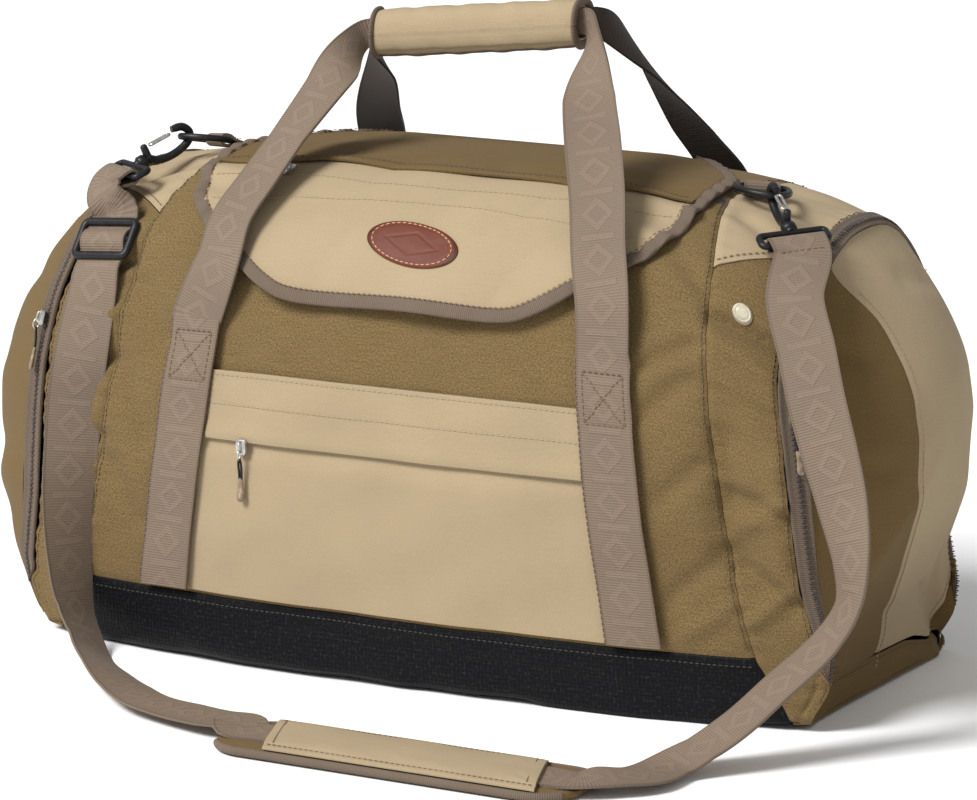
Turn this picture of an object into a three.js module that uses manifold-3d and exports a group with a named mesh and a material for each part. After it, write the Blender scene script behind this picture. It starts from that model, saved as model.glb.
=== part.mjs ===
// A canvas travel bag with a loose lid, end pockets, two hand straps joined by a grip, and a shoulder strap.
// Millimetres, +Z up. The origin is the middle of the flat base, +X runs along the bag, -Y is the front.
import * as THREE from "three";
import { mergeVertices } from "three/addons/utils/BufferGeometryUtils.js";
import Module from "manifold-3d";

// Driving dimensions of the body
const BAG_DEPTH = 328;
const BAG_HEIGHT = 362;
const WAIST_HEIGHT = 165;
const SEAM_HALF_LENGTH = 300;
const END_BULGE_RIGHT = 62;
const END_BULGE_LEFT = 96;
const END_CROWN_RIGHT = 205;
const END_CROWN_LEFT = 152;
const PLAN_TAPER = 0.17;
const END_DROOP_RIGHT = 0.17;
const END_DROOP_LEFT = 0.05;

// Cloth, webbing and trim
const CLOTH = 2;
const LAYER_GAP = 0.35;
const SEAM_GAP = 0.4;
const ZIP_GAP = 1.2;
const WEBBING_WIDTH = 40;
const WEBBING_THICKNESS = 1.8;
const BINDING_WIDTH = 10;
const ZIP_HALF_WIDTH = 8;
const LID_LIFT = 6;

// Grip and pad. The grip's centre is in shares of the seam half length, half depth and bag height.
const GRIP_LENGTH = 166;
const GRIP_HEIGHT = 34;
const GRIP_THICKNESS = 26;
const GRIP_WALL = 4;
const GRIP_TILT = 0.111;
const GRIP_CENTRE = { x: -0.0367, y: -0.061, z: 1.2541 };
const PAD_LENGTH = 282;
const PAD_WIDTH = 74;
const PAD_THICKNESS = 7;
const SLEEVE_LENGTH = 212;
const SLEEVE_WALL = 1.5;

// Hard parts
const RING_WIRE = 5;
const RING_REACH = 30;
const RING_BAR = 34;
const HOOK_WIRE = 6;
const HOOK_OPENING = 11;
const HOOK_REACH = 34;
const GATE_WIRE = 2.4;
const SLOT_LENGTH = 43;
const SLOT_FRAME = 5;
const SLOT_HEIGHT = 7;
const ADJUSTER_PITCH = 14;
const STUD_DIAMETER = 16;
const PATCH_LENGTH = 72;
const PATCH_WIDTH = 38;
const PULL_LENGTH = 34;

// Colours, roughness and metalness
const FINISHES = {
  olive: { color: 0x82683f, roughness: 0.95, metalness: 0 },
  sand: { color: 0xc6ae88, roughness: 0.9, metalness: 0 },
  taupe: { color: 0x8b7767, roughness: 0.85, metalness: 0 },
  black: { color: 0x1c1c20, roughness: 0.5, metalness: 0 },
  umber: { color: 0x251d19, roughness: 0.85, metalness: 0 },
  leather: { color: 0x8d4530, roughness: 0.6, metalness: 0 },
  nylon: { color: 0x131315, roughness: 0.35, metalness: 0 },
  steel: { color: 0xb9bbbd, roughness: 0.3, metalness: 1 },
  cream: { color: 0xcfc4a9, roughness: 0.5, metalness: 0 },
};

// Half section of the bag from the middle of its base to the middle of its top, as shares of depth and height.
const SECTION = [
  { depth: 0, height: 0 },
  { depth: 0.45, height: 0 },
  { depth: 0.86, height: 0 },
  { depth: 0.945, height: 0.012 },
  { depth: 0.975, height: 0.05 },
  { depth: 0.99, height: 0.15 },
  { depth: 1, height: 0.3 },
  { depth: 1, height: 0.46 },
  { depth: 0.975, height: 0.61 },
  { depth: 0.905, height: 0.755 },
  { depth: 0.76, height: 0.885 },
  { depth: 0.52, height: 0.965 },
  { depth: 0.26, height: 0.995 },
  { depth: 0, height: 1 },
];

// Height of the top line along the bag: share of the half length, share of the height above the waist.
const CROWN = [
  { length: 0, rise: 1 },
  { length: 0.35, rise: 1 },
  { length: 0.66, rise: 0.965 },
  { length: 0.78, rise: 0.93 },
  { length: 0.9, rise: 0.885 },
  { length: 1.15, rise: 0.87 },
];

// The seams round the bag: girth share, then distance from the middle as shares of the seam half length,
// of the seam between middle panels and gussets, and of the end zips.
const SEAMS = [
  { girth: 0, gusset: 1, right: 1.012, left: 1.012 },
  { girth: 0.2, gusset: 1, right: 1.012, left: 1.012 },
  { girth: 0.25, gusset: 0.99, right: 1.03, left: 1.03 },
  { girth: 0.29, gusset: 0.96, right: 1.08, left: 1.08 },
  { girth: 0.33, gusset: 0.91, right: 1.09, left: 1.1 },
  { girth: 0.41, gusset: 0.868, right: 1.045, left: 1.075 },
  { girth: 0.5, gusset: 0.83, right: 1.02, left: 1.06 },
  { girth: 0.6, gusset: 0.8, right: 1, left: 1.045 },
  { girth: 0.7, gusset: 0.772, right: 0.968, left: 1.015 },
  { girth: 0.8, gusset: 0.745, right: 0.957, left: 0.96 },
  { girth: 0.88, gusset: 0.702, right: 0.958, left: 0.942 },
  { girth: 0.94, gusset: 0.675, right: 0.96, left: 0.946 },
  { girth: 1, gusset: 0.667, right: 0.962, left: 0.95 },
];

// Girth shares at which the panels meet.
const BASE_EDGE = 0.33;
const BASE_CORNER = 0.25;
const MAIN_ZIP_LOW = 0.905;
const MAIN_ZIP_HIGH = 0.93;
const GUSSET_BEIGE_AT_SEAM = 0.8;
const GUSSET_BEIGE_AT_ZIP = 0.868;
const END_ZIP_LOW = 0.29;
const PLACKET_LOW = 0.521;
const PLACKET_HIGH = 0.602;
const LID_JOIN = 0.876;
const END_BAND_AT_ZIP = 0.872;

// The front pocket's half width at each girth share, as a share of the seam half length.
const POCKET = [
  { girth: 0.335, reach: 0.575 },
  { girth: 0.45, reach: 0.535 },
  { girth: 0.57, reach: 0.505 },
  { girth: 0.602, reach: 0.498 },
];

// The hand straps where they are sewn down: girth share and strap centre as a share of the seam half length.
const STRAP_SEWN = [
  { girth: 0.336, centre: 0.632 },
  { girth: 0.42, centre: 0.607 },
  { girth: 0.5, centre: 0.58 },
  { girth: 0.57, centre: 0.562 },
  { girth: 0.62, centre: 0.548 },
  { girth: 0.66, centre: 0.54 },
];

// Outline of the lid from the front edge over the top: girth share, half width as a share of the seam half length.
const LID_OUTLINE = [
  { girth: 0.688, reach: 0.3 },
  { girth: 0.7, reach: 0.365 },
  { girth: 0.728, reach: 0.452 },
  { girth: 0.785, reach: 0.6 },
  { girth: 0.83, reach: 0.65 },
  { girth: 0.87, reach: 0.66 },
  { girth: 0.94, reach: 0.662 },
  { girth: 1.02, reach: 0.662 },
  { girth: 1.12, reach: 0.655 },
];

// Half width of the beige band on each end, as a share of the half depth, at shares of the height.
const END_BAND = [
  { height: 0, reach: 0.44 },
  { height: 0.08, reach: 0.43 },
  { height: 0.17, reach: 0.385 },
  { height: 0.28, reach: 0.34 },
  { height: 0.42, reach: 0.305 },
  { height: 0.62, reach: 0.31 },
  { height: 0.76, reach: 0.345 },
  { height: 0.88, reach: 0.4 },
  { height: 1, reach: 0.44 },
];

// Top edge of each end's bottom piece: share of the half depth from the middle, share of the height.
const END_BOTTOM = [
  { depth: 0, height: 0.062 },
  { depth: 0.4, height: 0.058 },
  { depth: 0.6, height: 0.04 },
  { depth: 1, height: 0.03 },
];

// A table read at one place, on straight lines between its rows.
function read(table, key, column, place) {
  let i = 0;
  while (i < table.length - 2 && table[i + 1][key] < place) i += 1;
  const from = table[i];
  const to = table[i + 1];
  const share = THREE.MathUtils.clamp((place - from[key]) / (to[key] - from[key]), 0, 1);
  return THREE.MathUtils.lerp(from[column], to[column], share);
}

// A place given as shares of the seam half length, half depth and bag height.
const HALF_DEPTH = BAG_DEPTH / 2;
function inBag(share) {
  return new THREE.Vector3(share.x * SEAM_HALF_LENGTH, share.y * HALF_DEPTH, share.z * BAG_HEIGHT);
}

// The half section as a curve with even steps of girth.
const SECTION_STEPS = 240;
const sectionCurve = new THREE.CatmullRomCurve3(
  SECTION.map((row) => new THREE.Vector3(row.depth * HALF_DEPTH, row.height * BAG_HEIGHT, 0)),
  false,
  "catmullrom",
  0.5,
);
sectionCurve.arcLengthDivisions = 800;
const sectionPoints = sectionCurve.getSpacedPoints(SECTION_STEPS);
const HALF_GIRTH = sectionCurve.getLength();

function sectionAt(girth) {
  const place = THREE.MathUtils.clamp(girth, 0, 1) * SECTION_STEPS;
  const i = Math.min(Math.floor(place), SECTION_STEPS - 1);
  return sectionPoints[i].clone().lerp(sectionPoints[i + 1], place - i);
}

// A round-the-bag girth of 0 to 2, from the middle of the base over the front and top to the back,
// becomes a half girth and a side, -1 at the front.
function unwrap(round) {
  const place = ((round % 2) + 2) % 2;
  return place <= 1 ? { girth: place, side: -1 } : { girth: 2 - place, side: 1 };
}

// Skin of the middle of the bag at a distance x along it.
const BOTTOM_LIFT = 5;
const LIFT_STARTS = 0.84;
const LIFT_RUN = 0.26;
function barrelPoint(x, round) {
  const { girth, side } = unwrap(round);
  const flat = sectionAt(girth);
  const share = Math.abs(x) / SEAM_HALF_LENGTH;
  const droop = x > 0 ? END_DROOP_RIGHT : END_DROOP_LEFT;
  const ending = THREE.MathUtils.clamp((share - 0.6) / 0.4, 0, 1.2) ** 2;
  const lifting = THREE.MathUtils.clamp((share - LIFT_STARTS) / LIFT_RUN, 0, 2) ** 2;
  const above = Math.max(flat.y - WAIST_HEIGHT, 0);
  const below = THREE.MathUtils.clamp(1 - flat.y / WAIST_HEIGHT, 0, 1);
  const y = side * flat.x * (1 - PLAN_TAPER * share ** 3);
  const rise = Math.min(flat.y, WAIST_HEIGHT) + above * read(CROWN, "length", "rise", share);
  const drop = (droop * ending * BAG_HEIGHT * above) / (BAG_HEIGHT - WAIST_HEIGHT);
  const z = rise + BOTTOM_LIFT * lifting * below - drop * (flat.x / HALF_DEPTH) ** 2;
  return new THREE.Vector3(x, y, z);
}

// A surface's place and outward direction, from its own point function and two small steps.
const STEP_ALONG = 0.5;
const STEP_ROUND = 0.001;
function withNormal(pointAt, a, b, stepA, stepB) {
  const place = pointAt(a, b);
  const alongA = pointAt(a + stepA, b).sub(pointAt(a - stepA, b));
  const alongB = pointAt(a, b + stepB).sub(pointAt(a, b - stepB));
  return { place, normal: alongA.cross(alongB).normalize() };
}

function barrel(x, round) {
  return withNormal(barrelPoint, x, round, STEP_ALONG, STEP_ROUND);
}

function zipReach(end, round) {
  const column = end > 0 ? "right" : "left";
  return SEAM_HALF_LENGTH * read(SEAMS, "girth", column, unwrap(round).girth);
}

function seamReach(round) {
  return SEAM_HALF_LENGTH * read(SEAMS, "girth", "gusset", unwrap(round).girth);
}

// The rounded ends: a height field over the (y, z) plane inside the zip line, with its peak at a crown.
const RIM_STEPS = 360;
const DOME_POWER = 2.1;
function endOf(end) {
  const crown = end > 0 ? END_CROWN_RIGHT : END_CROWN_LEFT;
  const peak = SEAM_HALF_LENGTH + (end > 0 ? END_BULGE_RIGHT : END_BULGE_LEFT);
  const rim = [];
  for (let i = 0; i <= RIM_STEPS; i += 1) {
    const round = (2 * i) / RIM_STEPS;
    const place = barrelPoint(end * zipReach(end, round), round);
    const turn = Math.atan2(-place.y, crown - place.z);
    rim.push({ turn: i === RIM_STEPS ? Math.PI * 2 : (turn + Math.PI * 2) % (Math.PI * 2), round, place });
  }
  rim[0].turn = 0;
  return { end, crown, peak, rim };
}

const ENDS = { right: endOf(1), left: endOf(-1) };

// x on the rounded end over a point of the (y, z) plane.
function domePoint(shape, y, z) {
  const turn = (Math.atan2(-y, shape.crown - z) + Math.PI * 2) % (Math.PI * 2);
  const next = shape.rim.findIndex((row) => row.turn >= turn);
  const to = shape.rim[Math.max(next, 1)];
  const from = shape.rim[Math.max(next, 1) - 1];
  const share = THREE.MathUtils.clamp((turn - from.turn) / (to.turn - from.turn || 1), 0, 1);
  const rim = from.place.clone().lerp(to.place, share);
  const reach = Math.hypot(rim.y, rim.z - shape.crown);
  const radial = Math.min(Math.hypot(y, z - shape.crown) / reach, 1);
  const rimX = Math.abs(rim.x);
  const x = rimX + (shape.peak - rimX) * (1 - radial ** DOME_POWER);
  return new THREE.Vector3(shape.end * x, y, z);
}

function dome(shape, y, z) {
  const found = withNormal((a, b) => domePoint(shape, a, b), y, z, STEP_ALONG, STEP_ALONG);
  if (found.normal.x * shape.end < 0) found.normal.negate();
  return found;
}

// A point on the rounded end a given length inside the zip line.
function insideRim(shape, round, length) {
  const rim = barrelPoint(shape.end * zipReach(shape.end, round), round);
  const reach = Math.hypot(rim.y, rim.z - shape.crown);
  const slope = Math.hypot(reach, DOME_POWER * (shape.peak - Math.abs(rim.x)));
  const radial = 1 - length / slope;
  return { y: rim.y * radial, z: shape.crown + (rim.z - shape.crown) * radial };
}

// Meshes are collected here, and each becomes one closed solid.
const bag = new THREE.Group();

function addMesh(name, geometry, finish) {
  const mesh = new THREE.Mesh(geometry, new THREE.MeshStandardMaterial(FINISHES[finish]));
  mesh.name = name;
  bag.add(mesh);
  return mesh;
}

function geometryOf(vertices, triangles) {
  const geometry = new THREE.BufferGeometry();
  geometry.setAttribute("position", new THREE.Float32BufferAttribute(vertices.flatMap((v) => v.toArray()), 3));
  geometry.setIndex(triangles);
  return geometry;
}

// A closed sheet of cloth: a grid of places with normals, given a wall between two offsets from the surface.
function sheet(at, columns, rows, inner, outer) {
  const vertices = [];
  for (const offset of [outer, inner])
    for (let j = 0; j <= rows; j += 1)
      for (let i = 0; i <= columns; i += 1) {
        const { place, normal } = at(i / columns, j / rows);
        vertices.push(place.clone().addScaledVector(normal, offset));
      }
  const wide = columns + 1;
  const layer = wide * (rows + 1);
  const triangles = [];
  const quad = (a, b, c, d) => triangles.push(a, b, c, a, c, d);
  for (let j = 0; j < rows; j += 1)
    for (let i = 0; i < columns; i += 1) {
      const a = j * wide + i;
      quad(a, a + 1, a + 1 + wide, a + wide);
      quad(layer + a, layer + a + wide, layer + a + 1 + wide, layer + a + 1);
    }
  for (let i = 0; i < columns; i += 1) {
    const top = rows * wide + i;
    quad(i, layer + i, layer + i + 1, i + 1);
    quad(top, top + 1, layer + top + 1, layer + top);
  }
  for (let j = 0; j < rows; j += 1) {
    const left = j * wide;
    const right = left + columns;
    quad(left, left + wide, layer + left + wide, layer + left);
    quad(right, layer + right, layer + right + wide, right + wide);
  }
  const middle = at(0.5, 0.5);
  const across = at(0.51, 0.5).place.sub(at(0.49, 0.5).place);
  const along = at(0.5, 0.51).place.sub(at(0.5, 0.49).place);
  if (across.cross(along).dot(middle.normal) < 0) triangles.reverse();
  return geometryOf(vertices, triangles);
}

// Girths from low to high, with a stop at each row of the seam table and none further apart than a step.
const GIRTH_STEP = 0.062;
function girthStops(low, high) {
  const marks = SEAMS.flatMap((row) => [-row.girth, row.girth, 2 - row.girth]);
  const between = marks.filter((mark) => mark > low + 0.004 && mark < high - 0.004);
  const ordered = [...new Set([low, ...between.sort((a, b) => a - b), high])];
  return ordered.flatMap((mark, i) => {
    if (i === 0) return [mark];
    const before = ordered[i - 1];
    const count = Math.ceil((mark - before) / GIRTH_STEP - 1e-6);
    return Array.from({ length: count }, (_, k) => THREE.MathUtils.lerp(before, mark, (k + 1) / count));
  });
}

// The girth at a share v of a list of stops.
function stopAt(stops, v) {
  const place = v * (stops.length - 1);
  const i = Math.min(Math.floor(place), stops.length - 2);
  return THREE.MathUtils.lerp(stops[i], stops[i + 1], place - i);
}

// A panel of the middle of the bag over a list of girths, between two limits of x at each girth.
// slant moves the girth at share u across and v up the panel, where an edge isn't level.
function barrelPanel(name, finish, stops, limits, columns, inner = -CLOTH, outer = 0, slant = () => 0) {
  const at = (u, v) => {
    const round = stopAt(stops, v) + slant(u, v);
    const [from, to] = limits(round);
    return barrel(THREE.MathUtils.lerp(from, to, u), round);
  };
  addMesh(name, sheet(at, columns, stops.length - 1, inner, outer), finish);
}

const girthGap = SEAM_GAP / HALF_GIRTH;

function seamLimits(round) {
  const reach = seamReach(round) - SEAM_GAP / 2;
  return [-reach, reach];
}

// Black base with upturned sides, olive middle panels, and the main zip between them.
function addMiddle() {
  barrelPanel("base_panel", "black", girthStops(girthGap - BASE_EDGE, BASE_EDGE - girthGap), seamLimits, 6);
  barrelPanel("front_panel", "olive", girthStops(BASE_EDGE, MAIN_ZIP_LOW), seamLimits, 8);
  const zipStops = girthStops(MAIN_ZIP_LOW + girthGap, MAIN_ZIP_HIGH - girthGap);
  barrelPanel("main_zip", "taupe", zipStops, seamLimits, 8);
  barrelPanel("back_panel", "olive", girthStops(MAIN_ZIP_HIGH, 2 - BASE_EDGE), seamLimits, 6);
}

// Gussets between the seam and the zip line: olive front and back, beige over the top.
const ZIP_MARGIN_STARTS = 0.25;
function zipMargin(round) {
  const share = THREE.MathUtils.smoothstep(unwrap(round).girth, ZIP_MARGIN_STARTS, END_ZIP_LOW);
  return THREE.MathUtils.lerp(SEAM_GAP, ZIP_HALF_WIDTH + ZIP_GAP, share);
}

function addGusset(word, shape) {
  const limits = (round) => {
    const from = seamReach(round) + SEAM_GAP / 2;
    const to = zipReach(shape.end, round) - zipMargin(round);
    return [shape.end * from, shape.end * to];
  };
  const rise = GUSSET_BEIGE_AT_ZIP - GUSSET_BEIGE_AT_SEAM;
  const low = GUSSET_BEIGE_AT_SEAM;
  barrelPanel(
    `gusset_front_${word}`, "olive", girthStops(BASE_CORNER, low - girthGap), limits, 3, -CLOTH, 0,
    (u, v) => rise * u * v ** 4,
  );
  barrelPanel(
    `gusset_top_${word}`, "sand", girthStops(low + girthGap, 2 - low - girthGap), limits, 3, -CLOTH, 0,
    (u, v) => rise * u * (1 - 2 * v),
  );
  barrelPanel(
    `gusset_back_${word}`, "olive", girthStops(2 - low + girthGap, 2 - BASE_CORNER), limits, 3, -CLOTH, 0,
    (u, v) => -rise * u * (1 - v) ** 4,
  );
}

// The zip that opens each end pocket, from the bottom corner over the top to the back corner.
function addEndZip(word, shape) {
  const stops = girthStops(END_ZIP_LOW, 2 - END_ZIP_LOW);
  const at = (u, v) => {
    const round = stopAt(stops, v);
    const rimX = shape.end * zipReach(shape.end, round);
    const flat = barrel(rimX - shape.end * ZIP_HALF_WIDTH * Math.max(1 - 2 * u, 0), round);
    const inside = insideRim(shape, round, ZIP_HALF_WIDTH * Math.max(2 * u - 1, 0.02));
    const curved = dome(shape, inside.y, inside.z);
    const normal = flat.normal.clone().multiplyScalar(1 - u).addScaledVector(curved.normal, u).normalize();
    return { place: u <= 0.5 ? flat.place : curved.place, normal };
  };
  addMesh(`end_zip_${word}`, sheet(at, 2, stops.length - 1, -CLOTH, 0), "taupe");
}

// Each rounded end: a beige band, olive cheeks in front of and behind it, and an olive bottom piece.
function bandReach(z) {
  return HALF_DEPTH * read(END_BAND, "height", "reach", z / BAG_HEIGHT);
}

function bottomEdge(y) {
  return BAG_HEIGHT * read(END_BOTTOM, "depth", "height", Math.abs(y) / HALF_DEPTH);
}

function addEnd(word, shape) {
  const rimAt = (round) => insideRim(shape, round, zipMargin(round));
  const topRound = (u) => THREE.MathUtils.lerp(END_BAND_AT_ZIP, 2 - END_BAND_AT_ZIP, u);
  const band = (u, v) => {
    const top = rimAt(topRound(u));
    const across = 2 * u - 1;
    const foot = bottomEdge(across * bandReach(0)) + ZIP_GAP;
    const z = THREE.MathUtils.lerp(foot, top.z, v);
    const straight = across * bandReach(z);
    const y = THREE.MathUtils.lerp(straight, top.y, THREE.MathUtils.smoothstep(v, 0.75, 1));
    return { y, z };
  };
  const bandAt = (u, v) => {
    const { y, z } = band(u, v);
    return dome(shape, y, z);
  };
  addMesh(`end_band_${word}`, sheet(bandAt, 6, 14, -CLOTH, 0), "sand");
  const stops = girthStops(BASE_CORNER, END_BAND_AT_ZIP - girthGap);
  const cheek = (side, u, v) => {
    const edge = band(side < 0 ? 0 : 1, v);
    const round = stopAt(stops, v);
    const rim = rimAt(side < 0 ? round : 2 - round);
    edge.y += side * ZIP_GAP;
    const y = THREE.MathUtils.lerp(edge.y, rim.y, u);
    const z = THREE.MathUtils.lerp(edge.z, Math.max(rim.z, bottomEdge(rim.y) + ZIP_GAP), u);
    return dome(shape, y, z);
  };
  addMesh(`end_front_${word}`, sheet((u, v) => cheek(-1, u, v), 5, stops.length - 1, -CLOTH, 0), "olive");
  addMesh(`end_back_${word}`, sheet((u, v) => cheek(1, u, v), 5, stops.length - 1, -CLOTH, 0), "olive");
  const bottom = (u, v) => {
    const rim = rimAt(THREE.MathUtils.lerp(BASE_CORNER - 0.02, -BASE_CORNER + 0.02, u));
    const edge = bottomEdge(rim.y * 0.96);
    return dome(shape, rim.y * THREE.MathUtils.lerp(1, 0.96, v), THREE.MathUtils.lerp(rim.z, edge, v));
  };
  addMesh(`end_bottom_${word}`, sheet(bottom, 14, 2, -CLOTH, 0), "olive");
}

// The front pocket under its placket, which hides the pocket's zip.
const POCKET_OUT = LAYER_GAP + CLOTH;
const PLACKET_OUT = POCKET_OUT + LAYER_GAP + CLOTH;
function addPocket() {
  const limits = (round) => {
    const reach = SEAM_HALF_LENGTH * read(POCKET, "girth", "reach", round);
    return [-reach, reach];
  };
  const high = PLACKET_HIGH;
  barrelPanel("front_pocket", "sand", girthStops(POCKET[0].girth, high), limits, 8, LAYER_GAP, POCKET_OUT);
  const placketLimits = (round) => limits(round).map((x) => x - Math.sign(x) * WEBBING_WIDTH * 0.25);
  const inner = POCKET_OUT + LAYER_GAP;
  const stops = girthStops(PLACKET_LOW, high);
  barrelPanel("pocket_placket", "sand", stops, placketLimits, 8, inner, PLACKET_OUT);
}

// The lid: a loose flap over the main zip, beige in front and olive on top, with a bound edge.
const LID_STAND = 1.5;
function lidOffset(round) {
  const free = THREE.MathUtils.smoothstep(0.82 - round, 0, 0.13);
  return LID_STAND + LID_LIFT * free;
}

// The lid's outline, pulled in by a length on the cloth, as rows of girth and half width.
function lidOutline(pulledIn) {
  const flat = LID_OUTLINE.map((row) => ({ x: row.reach * SEAM_HALF_LENGTH, s: row.girth * HALF_GIRTH }));
  return flat.map((row, i) => {
    const before = i === 0 ? { x: 0, s: row.s } : flat[i - 1];
    const after = flat[Math.min(i + 1, flat.length - 1)];
    const run = Math.hypot(after.x - before.x, after.s - before.s);
    const inward = { x: -(after.s - before.s) / run, s: (after.x - before.x) / run };
    const last = i === flat.length - 1;
    return {
      x: row.x + (last ? -1 : inward.x) * pulledIn,
      round: (row.s + (last ? 0 : inward.s) * pulledIn) / HALF_GIRTH,
    };
  });
}

function addLid() {
  const outline = lidOutline(BINDING_WIDTH + LAYER_GAP);
  const widthAt = (round) => read(outline, "round", "x", round);
  const limits = (round) => [-widthAt(round), widthAt(round)];
  const lifted = (u, v, low, high) => {
    const round = THREE.MathUtils.lerp(low, high, v);
    const [from, to] = limits(round);
    const found = barrel(THREE.MathUtils.lerp(from, to, u), round);
    found.place.addScaledVector(found.normal, lidOffset(round));
    return found;
  };
  const low = outline[0].round;
  const high = outline[outline.length - 1].round;
  const front = (u, v) => lifted(u, v, low, LID_JOIN - girthGap);
  const top = (u, v) => lifted(u, v, LID_JOIN, high);
  addMesh("lid_front", sheet(front, 10, 7, 0, CLOTH), "sand");
  addMesh("lid_top", sheet(top, 10, 7, 0, CLOTH), "olive");
  const outer = lidOutline(0);
  const inner = lidOutline(BINDING_WIDTH);
  const both = (rows) => [...rows.map((row) => ({ ...row, x: -row.x })).reverse(), ...rows];
  const outerRows = both(outer);
  const innerRows = both(inner);
  const binding = (u, v) => {
    const place = v * (outerRows.length - 1);
    const i = Math.min(Math.floor(place), outerRows.length - 2);
    const mix = (rows, key) => THREE.MathUtils.lerp(rows[i][key], rows[i + 1][key], place - i);
    const x = THREE.MathUtils.lerp(mix(innerRows, "x"), mix(outerRows, "x"), u);
    const round = THREE.MathUtils.lerp(mix(innerRows, "round"), mix(outerRows, "round"), u);
    const found = barrel(x, round);
    found.place.addScaledVector(found.normal, lidOffset(round));
    return found;
  };
  const rows = (outerRows.length - 1) * 2;
  addMesh("lid_binding", sheet(binding, 1, rows, -LAYER_GAP, CLOTH + LAYER_GAP), "taupe");
}

// A flat strap: its middle line and its width direction are smooth curves through the same number of rows.
function strap(name, finish, rows, perRow, width = WEBBING_WIDTH, thickness = WEBBING_THICKNESS) {
  const line = new THREE.CatmullRomCurve3(rows.map((row) => row.place), false, "centripetal");
  const sideways = new THREE.CatmullRomCurve3(rows.map((row) => row.across), false, "catmullrom", 0.5);
  const widths = rows.map((row) => row.width ?? 1);
  const steps = (rows.length - 1) * perRow;
  const at = (u, v) => {
    const place = line.getPoint(v);
    const ahead = line.getTangent(v);
    const across = sideways.getPoint(v);
    across.addScaledVector(ahead, -across.dot(ahead)).normalize();
    const i = Math.min(Math.floor(v * (rows.length - 1)), rows.length - 2);
    const share = THREE.MathUtils.lerp(widths[i], widths[i + 1], v * (rows.length - 1) - i);
    place.addScaledVector(across, (u - 0.5) * width * share);
    return { place, normal: across.clone().cross(ahead).normalize() };
  };
  addMesh(name, sheet(at, 1, steps, -thickness / 2, thickness / 2), finish);
}

// Hand straps. Free stretches: shares of the seam half length, half depth and bag height, and the width direction.
const HAND_STRAP_FREE = [
  { side: -1, end: 1, x: 0.533, y: -0.925, z: 0.812, across: [1, 0.05, 0] },
  { side: -1, end: 1, x: 0.5, y: -0.84, z: 0.9, across: [1, 0.1, 0] },
  { side: -1, end: 1, x: 0.467, y: -0.732, z: 0.989, across: [1, 0.15, 0] },
  { side: -1, end: 1, x: 0.403, y: -0.549, z: 1.088, across: [1, 0.25, 0] },
  { side: -1, end: 1, x: 0.343, y: -0.366, z: 1.152, across: [0.9, 0.4, 0.3] },
  { side: -1, end: -1, x: 0.465, y: -0.925, z: 0.82, across: [1, -0.03, 0.05] },
  { side: -1, end: -1, x: 0.443, y: -0.84, z: 0.9, across: [0.98, 0.08, 0.05] },
  { side: -1, end: -1, x: 0.425, y: -0.72, z: 0.97, across: [0.95, 0.22, 0] },
  { side: -1, end: -1, x: 0.39, y: -0.58, z: 1.045, across: [0.93, 0.32, 0] },
  { side: -1, end: -1, x: 0.355, y: -0.366, z: 1.138, across: [0.8, 0.35, 0.3] },
  { side: 1, end: 1, x: 0.42, y: 0.93, z: 0.83, across: [1, -0.05, 0] },
  { side: 1, end: 1, x: 0.378, y: 0.82, z: 0.94, across: [1, -0.1, 0] },
  { side: 1, end: 1, x: 0.34, y: 0.671, z: 1.025, across: [1, -0.15, -0.1] },
  { side: 1, end: 1, x: 0.315, y: 0.488, z: 1.116, across: [0.9, -0.3, -0.35] },
  { side: 1, end: 1, x: 0.3, y: 0.244, z: 1.21, across: [0.6, -0.3, -0.7] },
  { side: 1, end: -1, x: 0.57, y: 0.93, z: 0.83, across: [1, 0.05, 0] },
  { side: 1, end: -1, x: 0.557, y: 0.77, z: 0.953, across: [1, 0.05, 0] },
  { side: 1, end: -1, x: 0.477, y: 0.488, z: 1.047, across: [0.9, 0.2, 0.3] },
  { side: 1, end: -1, x: 0.397, y: 0.244, z: 1.149, across: [0.6, 0.2, 0.7] },
];

const STRAP_LIFT = 0.6;
const STRAP_OUT = CLOTH * 2 + LAYER_GAP + STRAP_LIFT + WEBBING_THICKNESS / 2;
const STRAP_IN_GRIP = 0.42;
const GRIP_ENTRY = 8;
function handStrapRows(side, end) {
  const sewn = STRAP_SEWN.map((row) => {
    const round = side < 0 ? row.girth : 2 - row.girth;
    const x = end * row.centre * SEAM_HALF_LENGTH;
    const found = barrel(x, round);
    const place = found.place.addScaledVector(found.normal, STRAP_OUT);
    return { place, across: barrelPoint(x + end, round).sub(barrelPoint(x - end, round)) };
  });
  const free = HAND_STRAP_FREE.filter((row) => row.side === side && row.end === end).map((row) => ({
    place: inBag({ ...row, x: end * row.x }),
    across: new THREE.Vector3(end * row.across[0], row.across[1], row.across[2]),
  }));
  const upright = new THREE.Vector3(0, 0, Math.sign(free[free.length - 1].across.z));
  const inGrip = [{ beyond: GRIP_ENTRY, apart: 5 }, { beyond: -GRIP_ENTRY, apart: 2 }].map((row) => {
    const along = end * (GRIP_LENGTH / 2 + row.beyond);
    const place = inBag(GRIP_CENTRE).add(new THREE.Vector3(along, side * row.apart, along * GRIP_TILT));
    return { place, across: upright, width: STRAP_IN_GRIP };
  });
  return [...sewn, ...free, ...inGrip];
}

function addHandStraps() {
  for (const [word, end] of [["right", 1], ["left", -1]]) {
    strap(`hand_strap_front_${word}`, "taupe", handStrapRows(-1, end), 2);
    strap(`hand_strap_back_${word}`, "umber", handStrapRows(1, end), 2);
  }
}

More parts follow.
